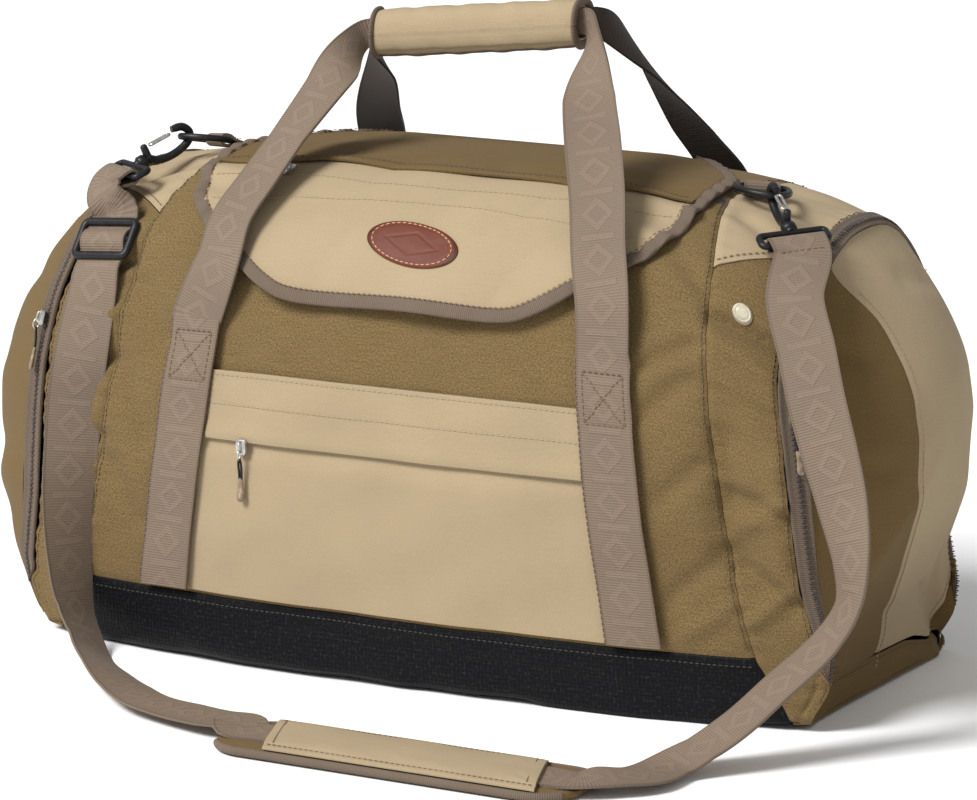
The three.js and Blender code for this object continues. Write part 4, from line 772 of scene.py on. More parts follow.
def finish(kind):
    """The named material, made once."""
    colours = bpy.context.scene.bag_colours
    makers = {
        "olive": lambda: canvas("olive_canvas", (*colours.olive, 1), 0.62, 0.42, 2.6),
        "olive_fine": lambda: canvas("olive_fine_canvas", (*colours.olive_fine, 1), 0.5, 0.22, 2.0),
        "sand": lambda: canvas("sand_canvas", (*colours.sand, 1), 0.5, 0.1, 2.0),
        "taupe": lambda: webbing("taupe_webbing", (*colours.taupe, 1), True),
        "taupe_plain": lambda: webbing("taupe_tab", (*colours.taupe, 1), False),
        # Painted shade: the back hand straps take the taupe webbing darkened to the shade their inner sides stand in.
        "umber": lambda: webbing("umber_webbing", (*colours.umber, 1), False),
        "binding": lambda: grosgrain("taupe_binding", shade((*colours.taupe, 1), 0.85)),
        "tape": lambda: grosgrain("zip_tape", shade((*colours.taupe, 1), 0.8)),
        "black": lambda: tarpaulin("coated_black", (*colours.black, 1)),
        "nylon": lambda: moulded("moulded_nylon", (0.007, 0.007, 0.008, 1)),
        "metal": lambda: nickel("worn_nickel", (0.62, 0.61, 0.59, 1)),
        "leather": lambda: hide("tan_leather", (*colours.leather, 1)),
        "coil": lambda: moulded("zip_coil", (0.055, 0.043, 0.04, 1)),
        "thread_sand": lambda: thread("sand_thread", (0.36, 0.275, 0.165, 1)),
        "thread_olive": lambda: thread("olive_thread", (0.12, 0.08, 0.035, 1)),
        "thread_black": lambda: thread("black_thread", (0.03, 0.03, 0.03, 1)),
        "thread_tan": lambda: thread("tan_thread", (0.5, 0.26, 0.14, 1)),
        "thread_brown": lambda: thread("brown_thread", (0.16, 0.09, 0.045, 1)),
        "tab": lambda: moulded("pull_rubber", (0.2, 0.15, 0.1, 1)),
        "cream": lambda: enamel("cream_enamel", (0.5, 0.45, 0.34, 1)),
        "floor": lambda: paper("pale_floor", (0.93, 0.93, 0.93, 1)),
    }
    if kind not in FINISHES:
        FINISHES[kind] = makers[kind]()
    return FINISHES[kind]


# Panels
def girth_rows(low, high, step=2.9):
    """Girths from low to high in steps of about a length in millimetres."""
    return np.linspace(low, high, max(int((high - low) * HALF_GIRTH / step), 2) + 1)


def barrel_panel(name, kind, low, high, limits, columns, bevel=None, height=0.0, wall=CLOTH, skew=None):
    """A sheet of the skin between two girths and two limits of x, with cloth coordinates."""
    w = girth_rows(low, high)[:, None]
    u = np.linspace(0, 1, columns + 1)[None]
    if skew is not None:
        w = w + skew(u, (w - low) / (high - low))
    left, right = limits(w)
    x = left + (right - left) * u
    outer, normals = skin_grid(x, w + 0 * x, height if bevel is None else height + bevel(x, w + 0 * x))
    inner = outer - normals * wall
    uv = np.stack([x, w * HALF_GIRTH + 0 * x], -1)
    return shell(name, outer, inner, uv, finish(kind)), outer, normals


def seam_limits(w):
    """Limits of x for the panels of the middle."""
    reach = seam_reach(w) - SEAM_GAP / 2
    return -reach, reach


def seam_row(x, w, height=0.25):
    """A line on the skin, as a path and its normals, for stitches."""
    bare = skin(x, w)
    step = 0.5
    normals = unit(np.cross(skin(x + step, w) - bare, skin(x, w + step / HALF_GIRTH) - bare))
    normals = normals * np.sign((normals * (bare - np.array([0, 0, 180.0]))).sum(-1).mean())
    lift = crease_height(x, w) + edge_relief(x, w) + height
    return bare + normals * lift[..., None], normals


class BAG_OT_middle(bpy.types.Operator):
    """Black base with upturned sides, olive front and back, and the main zip's tape"""

    bl_idname = "bag.middle"
    bl_label = "Middle panels"

    def execute(self, context):
        gap = SEAM_GAP / HALF_GIRTH
        base, _, _ = barrel_panel("base_cloth", "black", gap - BASE_EDGE, BASE_EDGE - gap, seam_limits, 110)
        keep(base, "bag", "tarpaulin", "base_panel")
        front, _, _ = barrel_panel("front_cloth", "olive", BASE_EDGE, MAIN_ZIP[0], seam_limits, 165)
        keep(front, "bag", "olive_canvas", "front_panel")
        back, _, _ = barrel_panel("back_cloth", "olive", MAIN_ZIP[1], 2 - BASE_EDGE, seam_limits, 110)
        keep(back, "bag", "olive_canvas", "back_panel")
        low, high = MAIN_ZIP[0] + gap, MAIN_ZIP[1] - gap
        tape, _, _ = barrel_panel("main_zip_tape", "tape", low, high, seam_limits, 120)
        keep(tape, "bag", "zip_tape", "main_zip")
        x = np.linspace(-1, 1, 240)
        rows = []
        for w0 in (BASE_EDGE - 6 / HALF_GIRTH, 2 - BASE_EDGE + 6 / HALF_GIRTH):
            w = np.full_like(x, w0)
            rows.append(seam_row(x * (seam_reach(w) - 4), w))
        keep(stitches("base_stitches", rows, finish("thread_black")), "bag", "tarpaulin")
        rows = []
        w = np.linspace(BASE_EDGE + 0.01, 2 - BASE_EDGE - 0.01, 420)
        for sign in (-1, 1):
            rows.append(seam_row(sign * (seam_reach(w) - 3.2), w))
        keep(stitches("middle_seam_stitches", rows, finish("thread_olive")), "bag", "olive_canvas")
        return {"FINISHED"}


def zip_margin(w):
    """Room beside an end zip's line: a seam's gap at its foot, the tape's half width above."""
    share = smooth_step(girth_of(w)[0], END_ZIP_FOOT, END_ZIP_LOW)
    return lerp(SEAM_GAP, ZIP_HALF + ZIP_GAP, share)


class BAG_OT_gussets(bpy.types.Operator):
    """Gussets between the middle and the end zips: olive front and back, sand over the top"""

    bl_idname = "bag.gussets"
    bl_label = "Gussets"

    def execute(self, context):
        gap = SEAM_GAP / HALF_GIRTH
        rise = BEIGE_ZIP - BEIGE_SEAM
        for end, (sign, *_rest) in ENDS.items():
            def limits(w, sign=sign, end=end):
                return sign * (seam_reach(w) + SEAM_GAP / 2), sign * (zip_reach(end, w) - zip_margin(w))

            pieces = [
                ("front", "olive", BASE_CORNER, BEIGE_SEAM - gap, lambda u, v: rise * u * v ** 4, "olive_canvas"),
                (
                    "top", "sand", BEIGE_SEAM + gap, 2 - BEIGE_SEAM - gap,
                    lambda u, v: rise * u * (1 - 2 * v), "sand_canvas",
                ),
                (
                    "back", "olive", 2 - BEIGE_SEAM + gap, 2 - BASE_CORNER,
                    lambda u, v: -rise * u * (1 - v) ** 4, "olive_canvas",
                ),
            ]
            for part, kind, low, high, skew, slot in pieces:
                def roll(x, w, part=part):
                    edge = np.abs(girth_of(w)[0] - BEIGE_SEAM - rise * np.clip((np.abs(x) - 225) / 60, 0, 1))
                    return np.exp(-(edge * HALF_GIRTH / 5) ** 2) * (0.9 if part == "top" else -0.8)

                made, _, _ = barrel_panel(f"gusset_{part}_cloth_{end}", kind, low, high, limits, 34, roll, skew=skew)
                keep(made, "bag", slot, f"gusset_{part}_{end}")
            u = np.linspace(0.02, 0.98, 40)
            rows = []
            for low, turn in ((BEIGE_SEAM, 1), (2 - BEIGE_SEAM, -1)):
                w = low + turn * (rise * u + 5 / HALF_GIRTH)
                left, right = limits(w)
                rows.append(seam_row(left + (right - left) * u, w, 0.9))
            w = np.linspace(BASE_CORNER + 0.03, 2 - BASE_CORNER - 0.03, 500)
            rows.append(seam_row(limits(w)[1] - sign * 3.0, w))
            keep(stitches(f"gusset_stitches_{end}", rows, finish("thread_brown")), "bag", "olive_canvas")
        return {"FINISHED"}


class BAG_OT_end_zips(bpy.types.Operator):
    """Zip tape, coil teeth and edge piping round each end pocket"""

    bl_idname = "bag.end_zips"
    bl_label = "End zips"

    def execute(self, context):
        for end, (sign, *_rest) in ENDS.items():
            w = girth_rows(END_ZIP_FOOT, 2 - END_ZIP_FOOT, 3.0)
            offsets = np.concatenate([np.linspace(-ZIP_HALF, 0, 9), np.linspace(0.4, ZIP_HALF, 9)])
            spread = (zip_margin(w)[:, None] - 0.2) / (ZIP_HALF + ZIP_GAP) * offsets[None] * 1.1
            points = zip_grid(end, w, spread)
            ridge = 1.6 * np.exp(-((np.abs(offsets) - 6.6) / 1.3) ** 2) - 1.0 * np.exp(-(offsets / 3.4) ** 2)
            outer, normals = raised(points, ridge[None] * np.ones((len(w), 1)))
            uv = np.stack(np.broadcast_arrays(offsets[None], w[:, None] * HALF_GIRTH), -1)
            tape = shell(f"end_zip_tape_{end}", outer, outer - normals * 1.2, uv, finish("tape"))
            keep(tape, "bag", "zip_tape", f"end_zip_{end}")
            line, up = outer[:, 8], normals[:, 8]
            run = np.concatenate([[0], np.cumsum(np.linalg.norm(np.diff(line, axis=0), axis=1))])
            places = np.arange(3, run[-1] - 3, TOOTH_PITCH)
            centre = np.stack([np.interp(places, run, line[:, k]) for k in range(3)], -1)
            out = unit(np.stack([np.interp(places, run, up[:, k]) for k in range(3)], -1))
            ahead = tangents(line)
            along = unit(np.stack([np.interp(places, run, ahead[:, k]) for k in range(3)], -1))
            across = np.cross(out, along)
            shift = np.where(np.arange(len(places)) % 2 == 0, 0.7, -0.7)[:, None]
            teeth = block_parts(centre + out * 0.5 + across * shift, along, across, out, (1.0, 2.6, 1.1))
            made = lay_mesh(f"end_zip_teeth_{end}", *teeth[:2], finish("coil"), teeth[2])
            keep(made, "bag", "zip_tape")
        return {"FINISHED"}


def zip_grid(end, w, offsets):
    """The tape's ground: on the skin outside the zip line, on the rounded end inside it."""
    sign = ENDS[end][0]
    x = sign * (zip_reach(end, w)[:, None] + np.minimum(offsets, 0))
    on_skin = skin(x, w[:, None] + 0 * x)
    y, z = inside_rim(end, w[:, None] + 0 * x, np.maximum(offsets, 0.05))
    return np.where((offsets <= 0)[..., None], on_skin, dome(end, y, z))


# Creases on the rounded ends: y and z of both ends, width and height.
END_CREASES = {
    "right": [(-95, 60, -60, 42, 6, -4), (-100, 95, -62, 84, 7, -3), (-92, 40, -40, 30, 6, 3),
              (-116, 190, -70, 176, 9, -2.5), (-98, 262, -60, 250, 8, -2.5), (-40, 60, 30, 52, 9, -2),
              (60, 60, 96, 46, 7, -3), (-8, 300, 40, 292, 9, -2), (80, 180, 112, 196, 9, -3)],
    "left": [(-118, 150, -62, 122, 14, -2.2), (-110, 112, -50, 92, 13, 1.8), (-116, 205, -56, 196, 14, -2),
             (-100, 78, -30, 56, 12, -2), (-96, 262, -30, 244, 12, -2), (-60, 160, -10, 175, 16, -2),
             (-90, 50, -60, 120, 12, -2), (40, 90, 100, 70, 10, -3)],
}


def end_relief(end, y, z, lines):
    """Creases of an end and valleys at lines of y where its pieces meet."""
    height = 0.8 * np.sin(y / 27 + z / 41) * np.sin(z / 33 - y / 61)
    for y0, z0, y1, z1, wide, high in END_CREASES[end]:
        by, bz = y1 - y0, z1 - z0
        run = by * by + bz * bz
        along = ((y - y0) * by + (z - z0) * bz) / run
        beyond = np.maximum(np.abs(along - 0.5) - 0.32, 0) * math.sqrt(run)
        across = ((y - y0) * bz - (z - z0) * by) / math.sqrt(run) + 0.15 * wide * np.sin(along * 6)
        height = height + high * np.exp(-(across / wide) ** 2 - (beyond / (wide * 1.5)) ** 2)
    height = height * bpy.context.scene.bag_sizes.fold_depth
    for line in lines:
        distance = np.abs(y - line)
        height = height + valley(distance, 2.2, 1.5) + pucker(distance, z, 27, 0.25, 10)
    return height


band_share = {-1: reader(END_BAND, 1, 0.05), 1: reader(END_BAND, 2, 0.05)}
bottom_share = reader(END_BOTTOM, blur=0.05)


def band_edge(side, z):
    """y of the sand band's front (-1) or back (1) edge at a height."""
    return side * HALF_DEPTH * band_share[side](z / BAG_HEIGHT)


def bottom_edge(y):
    """Height of the bottom piece's upper edge at a depth."""
    return BAG_HEIGHT * bottom_share(np.abs(y) / HALF_DEPTH)


def band_plan(end, u, v):
    """The sand band of an end in (y, z): between two curves of y, from the bottom piece to the zip."""
    top_y, top_z = inside_rim(end, lerp(*BAND_AT_ZIP, u), zip_margin(lerp(*BAND_AT_ZIP, u)))
    foot = bottom_edge(lerp(band_edge(-1, 0), band_edge(1, 0), u)) + ZIP_GAP
    z = lerp(foot, top_z, v)
    y = lerp(lerp(band_edge(-1, z), band_edge(1, z), u), top_y, smooth_step(v, 0.88, 1))
    return y, z


def cheek_plan(end, side, u, v):
    """An olive cheek in (y, z): from the edge of the sand band to the rim."""
    edge_y, edge_z = band_plan(end, 0.0 if side < 0 else 1.0, v)
    gap = SEAM_GAP / HALF_GIRTH
    if side < 0:
        w = lerp(BASE_CORNER, BAND_AT_ZIP[0] - gap, v)
    else:
        w = lerp(2 - BASE_CORNER, BAND_AT_ZIP[1] + gap, v)
    rim_y, rim_z = inside_rim(end, w, zip_margin(w))
    floor = bottom_edge(rim_y) + ZIP_GAP
    return lerp(edge_y + side * SEAM_GAP, rim_y, u), lerp(edge_z, np.maximum(rim_z, floor), u)


class BAG_OT_ends(bpy.types.Operator):
    """Rounded ends: a sand band, olive cheeks on both sides of it and an olive bottom piece"""

    bl_idname = "bag.ends"
    bl_label = "Rounded ends"

    def execute(self, context):
        for end, (sign, *_rest) in ENDS.items():
            v = np.linspace(0, 1, 121)[:, None]
            u = np.linspace(0, 1, 51)[None]
            y, z = band_plan(end, u + 0 * v, v + 0 * u)
            self.lay(end, "end_band", "sand", "sand_canvas", y, z)
            u = np.linspace(0, 1, 33)[None]
            for side, word in ((-1, "end_front"), (1, "end_back")):
                y, z = cheek_plan(end, side, u + 0 * v, v + 0 * u)
                self.lay(end, word, "olive_fine", "olive_canvas", y, z)
            w = np.linspace(BASE_CORNER - 0.0005, 0.0005 - BASE_CORNER, 131)[None]
            v = np.linspace(0, 1, 7)[:, None]
            tongue = skin(sign * lerp(seam_reach(w) + SEAM_GAP, zip_reach(end, w), v), w + 0 * v)
            v = np.linspace(0, 1, 13)[1:, None]
            rim_y, rim_z = inside_rim(end, w + 0 * v, SEAM_GAP)
            y, z = rim_y * lerp(1, 0.96, v), lerp(rim_z, np.maximum(bottom_edge(rim_y * 0.96), rim_z + 1), v)
            self.lay(end, "end_bottom", "olive_fine", "olive_canvas", y, z, tongue)
            self.sew(end)
        return {"FINISHED"}

    def lay(self, end, word, kind, slot, y, z, tongue=None):
        seam = [band_edge(-1, z), band_edge(1, z)] if word != "end_bottom" else []
        bare = dome(end, y, z)
        relief = end_relief(end, y, z, seam) + valley(np.abs(z - bottom_edge(y)), 2.4, 1.2)
        if tongue is not None:
            bare = np.concatenate([tongue, bare])
            relief = np.concatenate([np.zeros(tongue.shape[:2]), relief])
            y, z = bare[..., 1], bare[..., 2]
        outer, normals = raised(bare, relief)
        uv = np.stack([y + 400, z], -1)
        made = shell(f"{word}_cloth_{end}", outer, outer - normals * CLOTH, uv, finish(kind))
        keep(made, "bag", slot, f"{word}_{end}")

    def sew(self, end):
        rows = []
        for side in (-1, 1):
            z = np.linspace(14, BAG_HEIGHT * 0.82, 160)
            y = band_edge(side, z) - side * 3.6
            rows.append(self.line(end, y, z))
        keep(stitches(f"end_stitches_{end}", rows, finish("thread_sand")), "bag", "sand_canvas")
        y = np.linspace(-105, 105, 120)
        row = self.line(end, y, bottom_edge(y) - 3.0)
        keep(stitches(f"end_bottom_stitches_{end}", [row], finish("thread_olive")), "bag", "olive_canvas")

    def line(self, end, y, z):
        place = dome(end, y, z)
        step = 0.5
        normals = unit(np.cross(dome(end, y + step, z) - place, dome(end, y, z + step) - place))
        normals = normals * np.sign(normals[:, :1] * ENDS[end][0])
        lift = end_relief(end, y, z, [band_edge(-1, z), band_edge(1, z)]) + 0.25
        lift = lift + valley(np.abs(z - bottom_edge(y)), 2.4, 1.2)
        return place + normals * lift[:, None], normals


pocket_share = reader(POCKET, blur=0.02)


class BAG_OT_pocket(bpy.types.Operator):
    """Front pocket with a stitched placket over its zip"""

    bl_idname = "bag.pocket"
    bl_label = "Front pocket"

    def execute(self, context):
        def limits(w):
            reach = HALF_LENGTH * pocket_share(w)
            return -reach, reach

        def swell(x, w):
            inside = np.minimum(HALF_LENGTH * pocket_share(w) - np.abs(x), (w - POCKET[0][0]) * HALF_GIRTH)
            loose = 2.2 * smooth_step(inside, 0, 60) * (1 - smooth_step(w, 0.49, 0.52))
            line = np.abs(w - PLACKET[0] + 0.004) * HALF_GIRTH
            return loose - 1.6 * np.exp(-(line / 5) ** 2)

        pocket, _, _ = barrel_panel(
            "pocket_cloth", "sand", POCKET[0][0], PLACKET[1], limits, 150, swell, POCKET_OUT, 1.6
        )
        keep(pocket, "bag", "sand_canvas", "front_pocket")

        def placket_limits(w):
            reach = HALF_LENGTH * pocket_share(w) - 4
            return -reach, reach

        def fold(x, w):
            drop = (w - PLACKET[0]) * HALF_GIRTH
            wavy = 0.7 * np.sin(x / 19 + 0.6 * np.sin(x / 47))
            return (1.3 + wavy * 0.5) * (1 - smooth_step(drop, 0, 16)) - 0.8 * np.exp(-(drop / 2.0) ** 2)

        placket, _, _ = barrel_panel(
            "placket_cloth", "sand", PLACKET[0], PLACKET[1], placket_limits, 150, fold, PLACKET_OUT - 0.6, 1.6
        )
        keep(placket, "bag", "sand_canvas", "pocket_placket")
        x = np.linspace(-1, 1, 160)
        rows = []
        for w0, height in ((0.563, PLACKET_OUT - 0.6), (PLACKET[1] - 3 / HALF_GIRTH, PLACKET_OUT - 0.6)):
            w = np.full_like(x, w0)
            rows.append(seam_row(x * (HALF_LENGTH * pocket_share(w) - 5), w, height + 0.2))
        keep(stitches("placket_stitches", rows, finish("thread_sand")), "bag", "sand_canvas")
        return {"FINISHED"}


def lid_offset(w):
    """Height of the lid over the skin, more towards its front edge."""
    return LID_STAND + LID_LIFT * smooth_step(0.82 - w, 0, 0.13)


def lid_outline(pulled_in):
    """The lid's edge from the front middle round one side to the back, pulled in by a length on the cloth."""
    plan = np.array([(reach * HALF_LENGTH, w * HALF_GIRTH) for w, reach in LID_OUTLINE])
    plan = curve_through(plan, 320)
    run = unit(np.gradient(plan, axis=0))
    inward = np.stack([-run[:, 1], run[:, 0]], -1)
    moved = plan + inward * pulled_in
    return moved[:, 0], moved[:, 1] / HALF_GIRTH


def lid_height(x, w):
    """Lid over the skin: lifted towards its front edge, ruffled along the sides, with slack between."""
    s = w * HALF_GIRTH
    side = smooth_step(np.abs(x), 120, 196) * (1 - smooth_step(w, 0.86, 0.92))
    ruffle = 2.4 * np.sin(s / 5.2 + x / 30) * side
    slack = 2.0 * np.sin(x / 37 + 1) * np.sin(s / 26) + 1.2 * np.sin(x / 17 - s / 19)
    edge = 1.6 * np.sin(x / 23) * (1 - smooth_step(w, 0.688, 0.73))
    loose = 1 - smooth_step(w, 0.9, 1.0)
    return lid_offset(w) + ruffle + (np.abs(slack) * 0.8 + edge + 0.8) * loose


class BAG_OT_lid(bpy.types.Operator):
    """Loose lid: sand front, olive top with a free edge over it, bound all round in ribbed tape"""

    bl_idname = "bag.lid"
    bl_label = "Lid"

    def execute(self, context):
        edge_x, edge_w = lid_outline(BINDING - 2)
        width = lambda w: np.interp(w, edge_w, edge_x)
        low, high = edge_w[0], edge_w[-1]
        self.lay("lid_front_cloth", "sand", "sand_canvas", "lid_front", low, LID_JOIN + 0.012, width, CLOTH)
        self.lay("lid_top_cloth", "olive_fine", "olive_canvas", "lid_top", LID_JOIN, high, width, CLOTH)
        self.bind()
        x = np.linspace(-1, 1, 180)
        rows = []
        for w0, height in ((0.814, 0.2), (LID_JOIN - 0.028, 0.2), (LID_JOIN + 0.012, 2.6)):
            w = np.full_like(x, w0) + 0.008 * np.cos(x * 3) * (w0 < 0.83)
            rows.append(self.on_lid(x * (width(w) - 6), w, height))
        keep(stitches("lid_stitches", rows[:2], finish("thread_sand")), "bag", "sand_canvas")
        keep(stitches("lid_top_stitches", rows[2:], finish("thread_olive")), "bag", "olive_canvas")
        return {"FINISHED"}

    def on_lid(self, x, w, height):
        bare = skin(x, w)
        normals = unit(np.cross(skin(x + 0.5, w) - bare, skin(x, w + 0.001) - bare))
        normals = normals * np.sign((normals * (bare - np.array([0, 0, 180.0]))).sum(-1).mean())
        return bare + normals * (lid_height(x, w) + CLOTH + height)[:, None], normals

    def lay(self, name, kind, slot, node, low, high, width, height):
        w = girth_rows(low, high, 2.0)[:, None]
        u = np.linspace(-1, 1, 131)[None]
        x = width(w) * u
        drop = (w - low) * HALF_GIRTH
        free = 0.0
        if node == "lid_top":
            near = 1 - smooth_step(drop, 0, 16)
            free = (3.4 + 0.9 * np.sin(x / 21)) * near - 1.0 * np.exp(-(drop / 2) ** 2)
        outer, normals = raised(skin(x, w + 0 * x), lid_height(x, w + 0 * x) + height + free)
        uv = np.stack([x, w * HALF_GIRTH + 0 * x], -1)
        keep(shell(name, outer, outer - normals * 1.6, uv, finish(kind)), "bag", slot, node)

    def bind(self):
        """The binding: a flattened ring folded round the edge, carried along the outline."""
        outer_x, outer_w = lid_outline(0)
        inner_x, inner_w = lid_outline(BINDING)
        mirror = lambda a, sign: np.concatenate([sign * a[:0:-1], a])
        ox, ow, ix, iw = mirror(outer_x, -1), mirror(outer_w, 1), mirror(inner_x, -1), mirror(inner_w, 1)
        outer, out_normal = self.on_lid(ox, ow, 0)
        inner, in_normal = self.on_lid(ix, iw, 0)
        turn = np.linspace(0, 2 * np.pi, 15)[:-1]
        across = (0.5 + 0.5 * np.sign(np.cos(turn)) * np.abs(np.cos(turn)) ** 0.6)[None, :, None]
        tall = (np.sign(np.sin(turn)) * np.abs(np.sin(turn)) ** 0.6)[None, :, None]
        run = np.concatenate([[0], np.cumsum(np.linalg.norm(np.diff(outer, axis=0), axis=1))])
        gather = (0.5 * np.sin(run / 2.6) * smooth_step(np.abs(ox), 110, 180))[:, None, None]
        normal = unit(out_normal + in_normal)[:, None]
        points = lerp(inner[:, None], outer[:, None], across) + normal * (tall * (2.0 + gather) - 0.7 + gather)
        faces = grid_faces(len(run), 14, wrap_columns=True)
        uv = np.stack(np.broadcast_arrays(across[..., 0] * BINDING, run[:, None]), -1)
        made = lay_mesh("lid_binding_tape", points, faces[:, ::-1], finish("binding"), uv)
        keep(made, "bag", "taupe_webbing", "lid_binding")
        row = (inner + in_normal * 1.6, in_normal)
        keep(stitches("binding_stitches", [row], finish("thread_brown")), "bag", "taupe_webbing")


# Straps
def band_grid(centre, across, width, columns=9, cup=0.0):
    """Rows of points across a band; cup lifts its edges by a share of their distance squared."""
    share = np.linspace(-0.5, 0.5, columns)[None, :, None]
    wide = np.broadcast_to(np.asarray(width, float), (len(centre),))[:, None, None]
    ahead = tangents(centre)
    side = unit(across - ahead * np.sum(across * ahead, -1, keepdims=True))
    normal = unit(np.cross(side, ahead))
    points = centre[:, None] + side[:, None] * share * wide
    bend = np.broadcast_to(np.asarray(cup, float), (len(centre),))[:, None, None]
    return points + normal[:, None] * bend * (share * 2) ** 2, np.repeat(normal[:, None], columns, 1)


def band_coords(points, width=WEBBING):
    """Cloth coordinates of webbing: across it and along its middle."""
    middle = points[:, points.shape[1] // 2]
    run = np.concatenate([[0], np.cumsum(np.linalg.norm(np.diff(middle, axis=0), axis=1))])
    across = np.linspace(-0.5, 0.5, points.shape[1]) * width
    return np.stack(np.broadcast_arrays(across[None], run[:, None]), -1)


def lay_band(name, points, normals, kind, wall=WEB_WALL):
    """Webbing through a grid of points, half its wall to each side."""
    half = normals * wall / 2
    return shell(name, points + half, points - half, band_coords(points), finish(kind))


# Free stretches of the hand straps: shares of the half length, half depth and height, the direction across
# and the share of the width.
FREE_STRAPS = {
    ("front", "right"): [
        (0.533, -0.925, 0.812, 1, 0.05, 0, 1), (0.5, -0.84, 0.9, 1, 0.1, 0, 1),
        (0.467, -0.732, 0.989, 1, 0.15, 0, 1),
        (0.403, -0.549, 1.088, 1, 0.25, 0, 1), (0.343, -0.366, 1.152, 0.9, 0.4, 0.3, 0.95),
    ],
    ("front", "left"): [
        (-0.488, -0.927, 0.819, -0.97, 0.2, -0.02, 1), (-0.479, -0.841, 0.8976, -0.95, 0.3, 0.03, 1),
        (-0.445, -0.72, 0.9693, -0.92, 0.38, 0.06, 1), (-0.409, -0.579, 1.0443, -0.91, 0.41, 0, 1),
        (-0.365, -0.366, 1.14, -0.85, 0.4, 0.25, 0.95),
    ],
    ("back", "right"): [
        (0.42, 0.93, 0.83, 1, -0.05, 0, 1), (0.378, 0.82, 0.94, 1, -0.1, 0, 1),
        (0.34, 0.671, 1.025, 1, -0.15, -0.1, 1),
        (0.315, 0.488, 1.116, 0.9, -0.3, -0.35, 1), (0.3, 0.244, 1.21, 0.6, -0.3, -0.7, 0.9),
    ],
    ("back", "left"): [
        (-0.57, 0.93, 0.83, -1, 0.05, 0, 1), (-0.557, 0.77, 0.953, -1, 0.05, 0, 1),
        (-0.477, 0.488, 1.047, -0.9, 0.2, 0.3, 1), (-0.397, 0.244, 1.149, -0.6, 0.2, 0.7, 0.9),
    ],
}
GRIP = {"x": -11, "y": -10, "z": 454, "length": 166, "tilt": 0.111, "high": 34, "deep": 26}


def free_rows(side, end):
    """A hand strap's free stretch and the two rows by which it enters the grip, as places and directions."""
    rows = np.array(FREE_STRAPS[side, end], float)
    rows[:, :3] = in_bag(rows[:, :3])
    front = -1 if side == "front" else 1
    entry = []
    for beyond, apart, width in ((8, 5, 0.5), (-8, 2, 0.42)):
        along = ENDS[end][0] * (GRIP["length"] / 2 + beyond)
        place = (GRIP["x"] + along, GRIP["y"] + front * apart, GRIP["z"] + along * GRIP["tilt"])
        entry.append((*place, 0, 0, np.sign(rows[-1, 5]), width))
    return np.concatenate([rows, entry])


sewn_share = reader(STRAP_SEWN, blur=0.02)
STRAP_OUT = 5.9


class BAG_OT_hand_straps(bpy.types.Operator):
    """Hand straps sewn down the front and back, rising to the grip, with box stitches where they leave the bag"""

    bl_idname = "bag.hand_straps"
    bl_label = "Hand straps"

    def execute(self, context):
        for side, end in FREE_STRAPS:
            sign = ENDS[end][0]
            w = np.linspace(STRAP_SEWN[0][0], STRAP_SEWN[-1][0], 90)
            turned = w if side == "front" else 2 - w
            spread = np.linspace(-0.5, 0.5, 9) * WEBBING
            x = sign * (sewn_share(w) * HALF_LENGTH)[:, None] + spread[None] * sign
            sewn, sewn_normals = skin_grid(x, turned[:, None] + 0 * x, STRAP_OUT, relief=False)
            free = free_rows(side, end)
            start = sewn[-14::6, 4]
            centre = curve_through(np.concatenate([start, free[:, :3]]), 130)
            knots = np.concatenate([start, free[:, :3]])
            run = np.concatenate([[0], np.cumsum(np.linalg.norm(np.diff(knots, axis=0), axis=1))])
            even = np.linspace(0, run[-1], 131)
            lead = np.repeat(np.array([[sign, 0, 0, 1.0]]), len(start), 0)
            extra = np.concatenate([lead, free[:, 3:]])
            across = np.stack([np.interp(even, run, extra[:, k]) for k in range(3)], -1)
            width = WEBBING * np.interp(even, run, extra[:, 3])
            fall = np.interp(even / run[-1], [0, 0.5, 1], [0, 0.4, 1])
            slump = 2.5 * np.sin(np.linspace(0, np.pi, 131)) * fall
            points, normals = band_grid(centre, across, width, cup=slump)
            away = np.sign((normals[20, 4] * sewn_normals[-1, 4]).sum())
            first = int(np.argmin(np.linalg.norm(centre - sewn[-1, 4], axis=1))) + 2
            points = np.concatenate([sewn, points[first:]])
            normals = np.concatenate([sewn_normals, normals[first:] * away])
            # The back straps get the darkened taupe webbing: painted shade.
            kind, slot = ("taupe", "taupe_webbing") if side == "front" else ("umber", "umber_webbing")
            strap = lay_band(f"hand_strap_{side}_band_{end}", points, normals, kind)
            keep(strap, "bag", slot, f"hand_strap_{side}_{end}")
            self.sew(side, end, sewn, sewn_normals)
        return {"FINISHED"}

    def sew(self, side, end, points, normals):
        """Rows along both edges, and a box with a cross below where the strap comes free."""
        lift = normals * (WEB_WALL / 2 + 0.15)
        rows = [((points + lift)[:, k], normals[:, k]) for k in (0, 8)]
        on = lambda i, k: (points + lift)[i, k]
        a, b = 69, 85
        corners = [(a, 1), (a, 7), (b, 7), (b, 1), (a, 1), (b, 7), (b, 1), (a, 7)]
        for (i0, k0), (i1, k1) in zip(corners, corners[1:]):
            share = np.linspace(0, 1, 24)
            i = np.rint(lerp(i0, i1, share)).astype(int)
            k = lerp(k0, k1, share)
            low = np.floor(k).astype(int)
            high = np.minimum(low + 1, 8)
            path = lerp(on(i, low), on(i, high), (k - low)[:, None])
            rows.append((path, normals[i, low]))
        made = stitches(f"hand_strap_{side}_stitches_{end}", rows, finish("thread_brown"))
        keep(made, "bag", "taupe_webbing" if side == "front" else "umber_webbing")


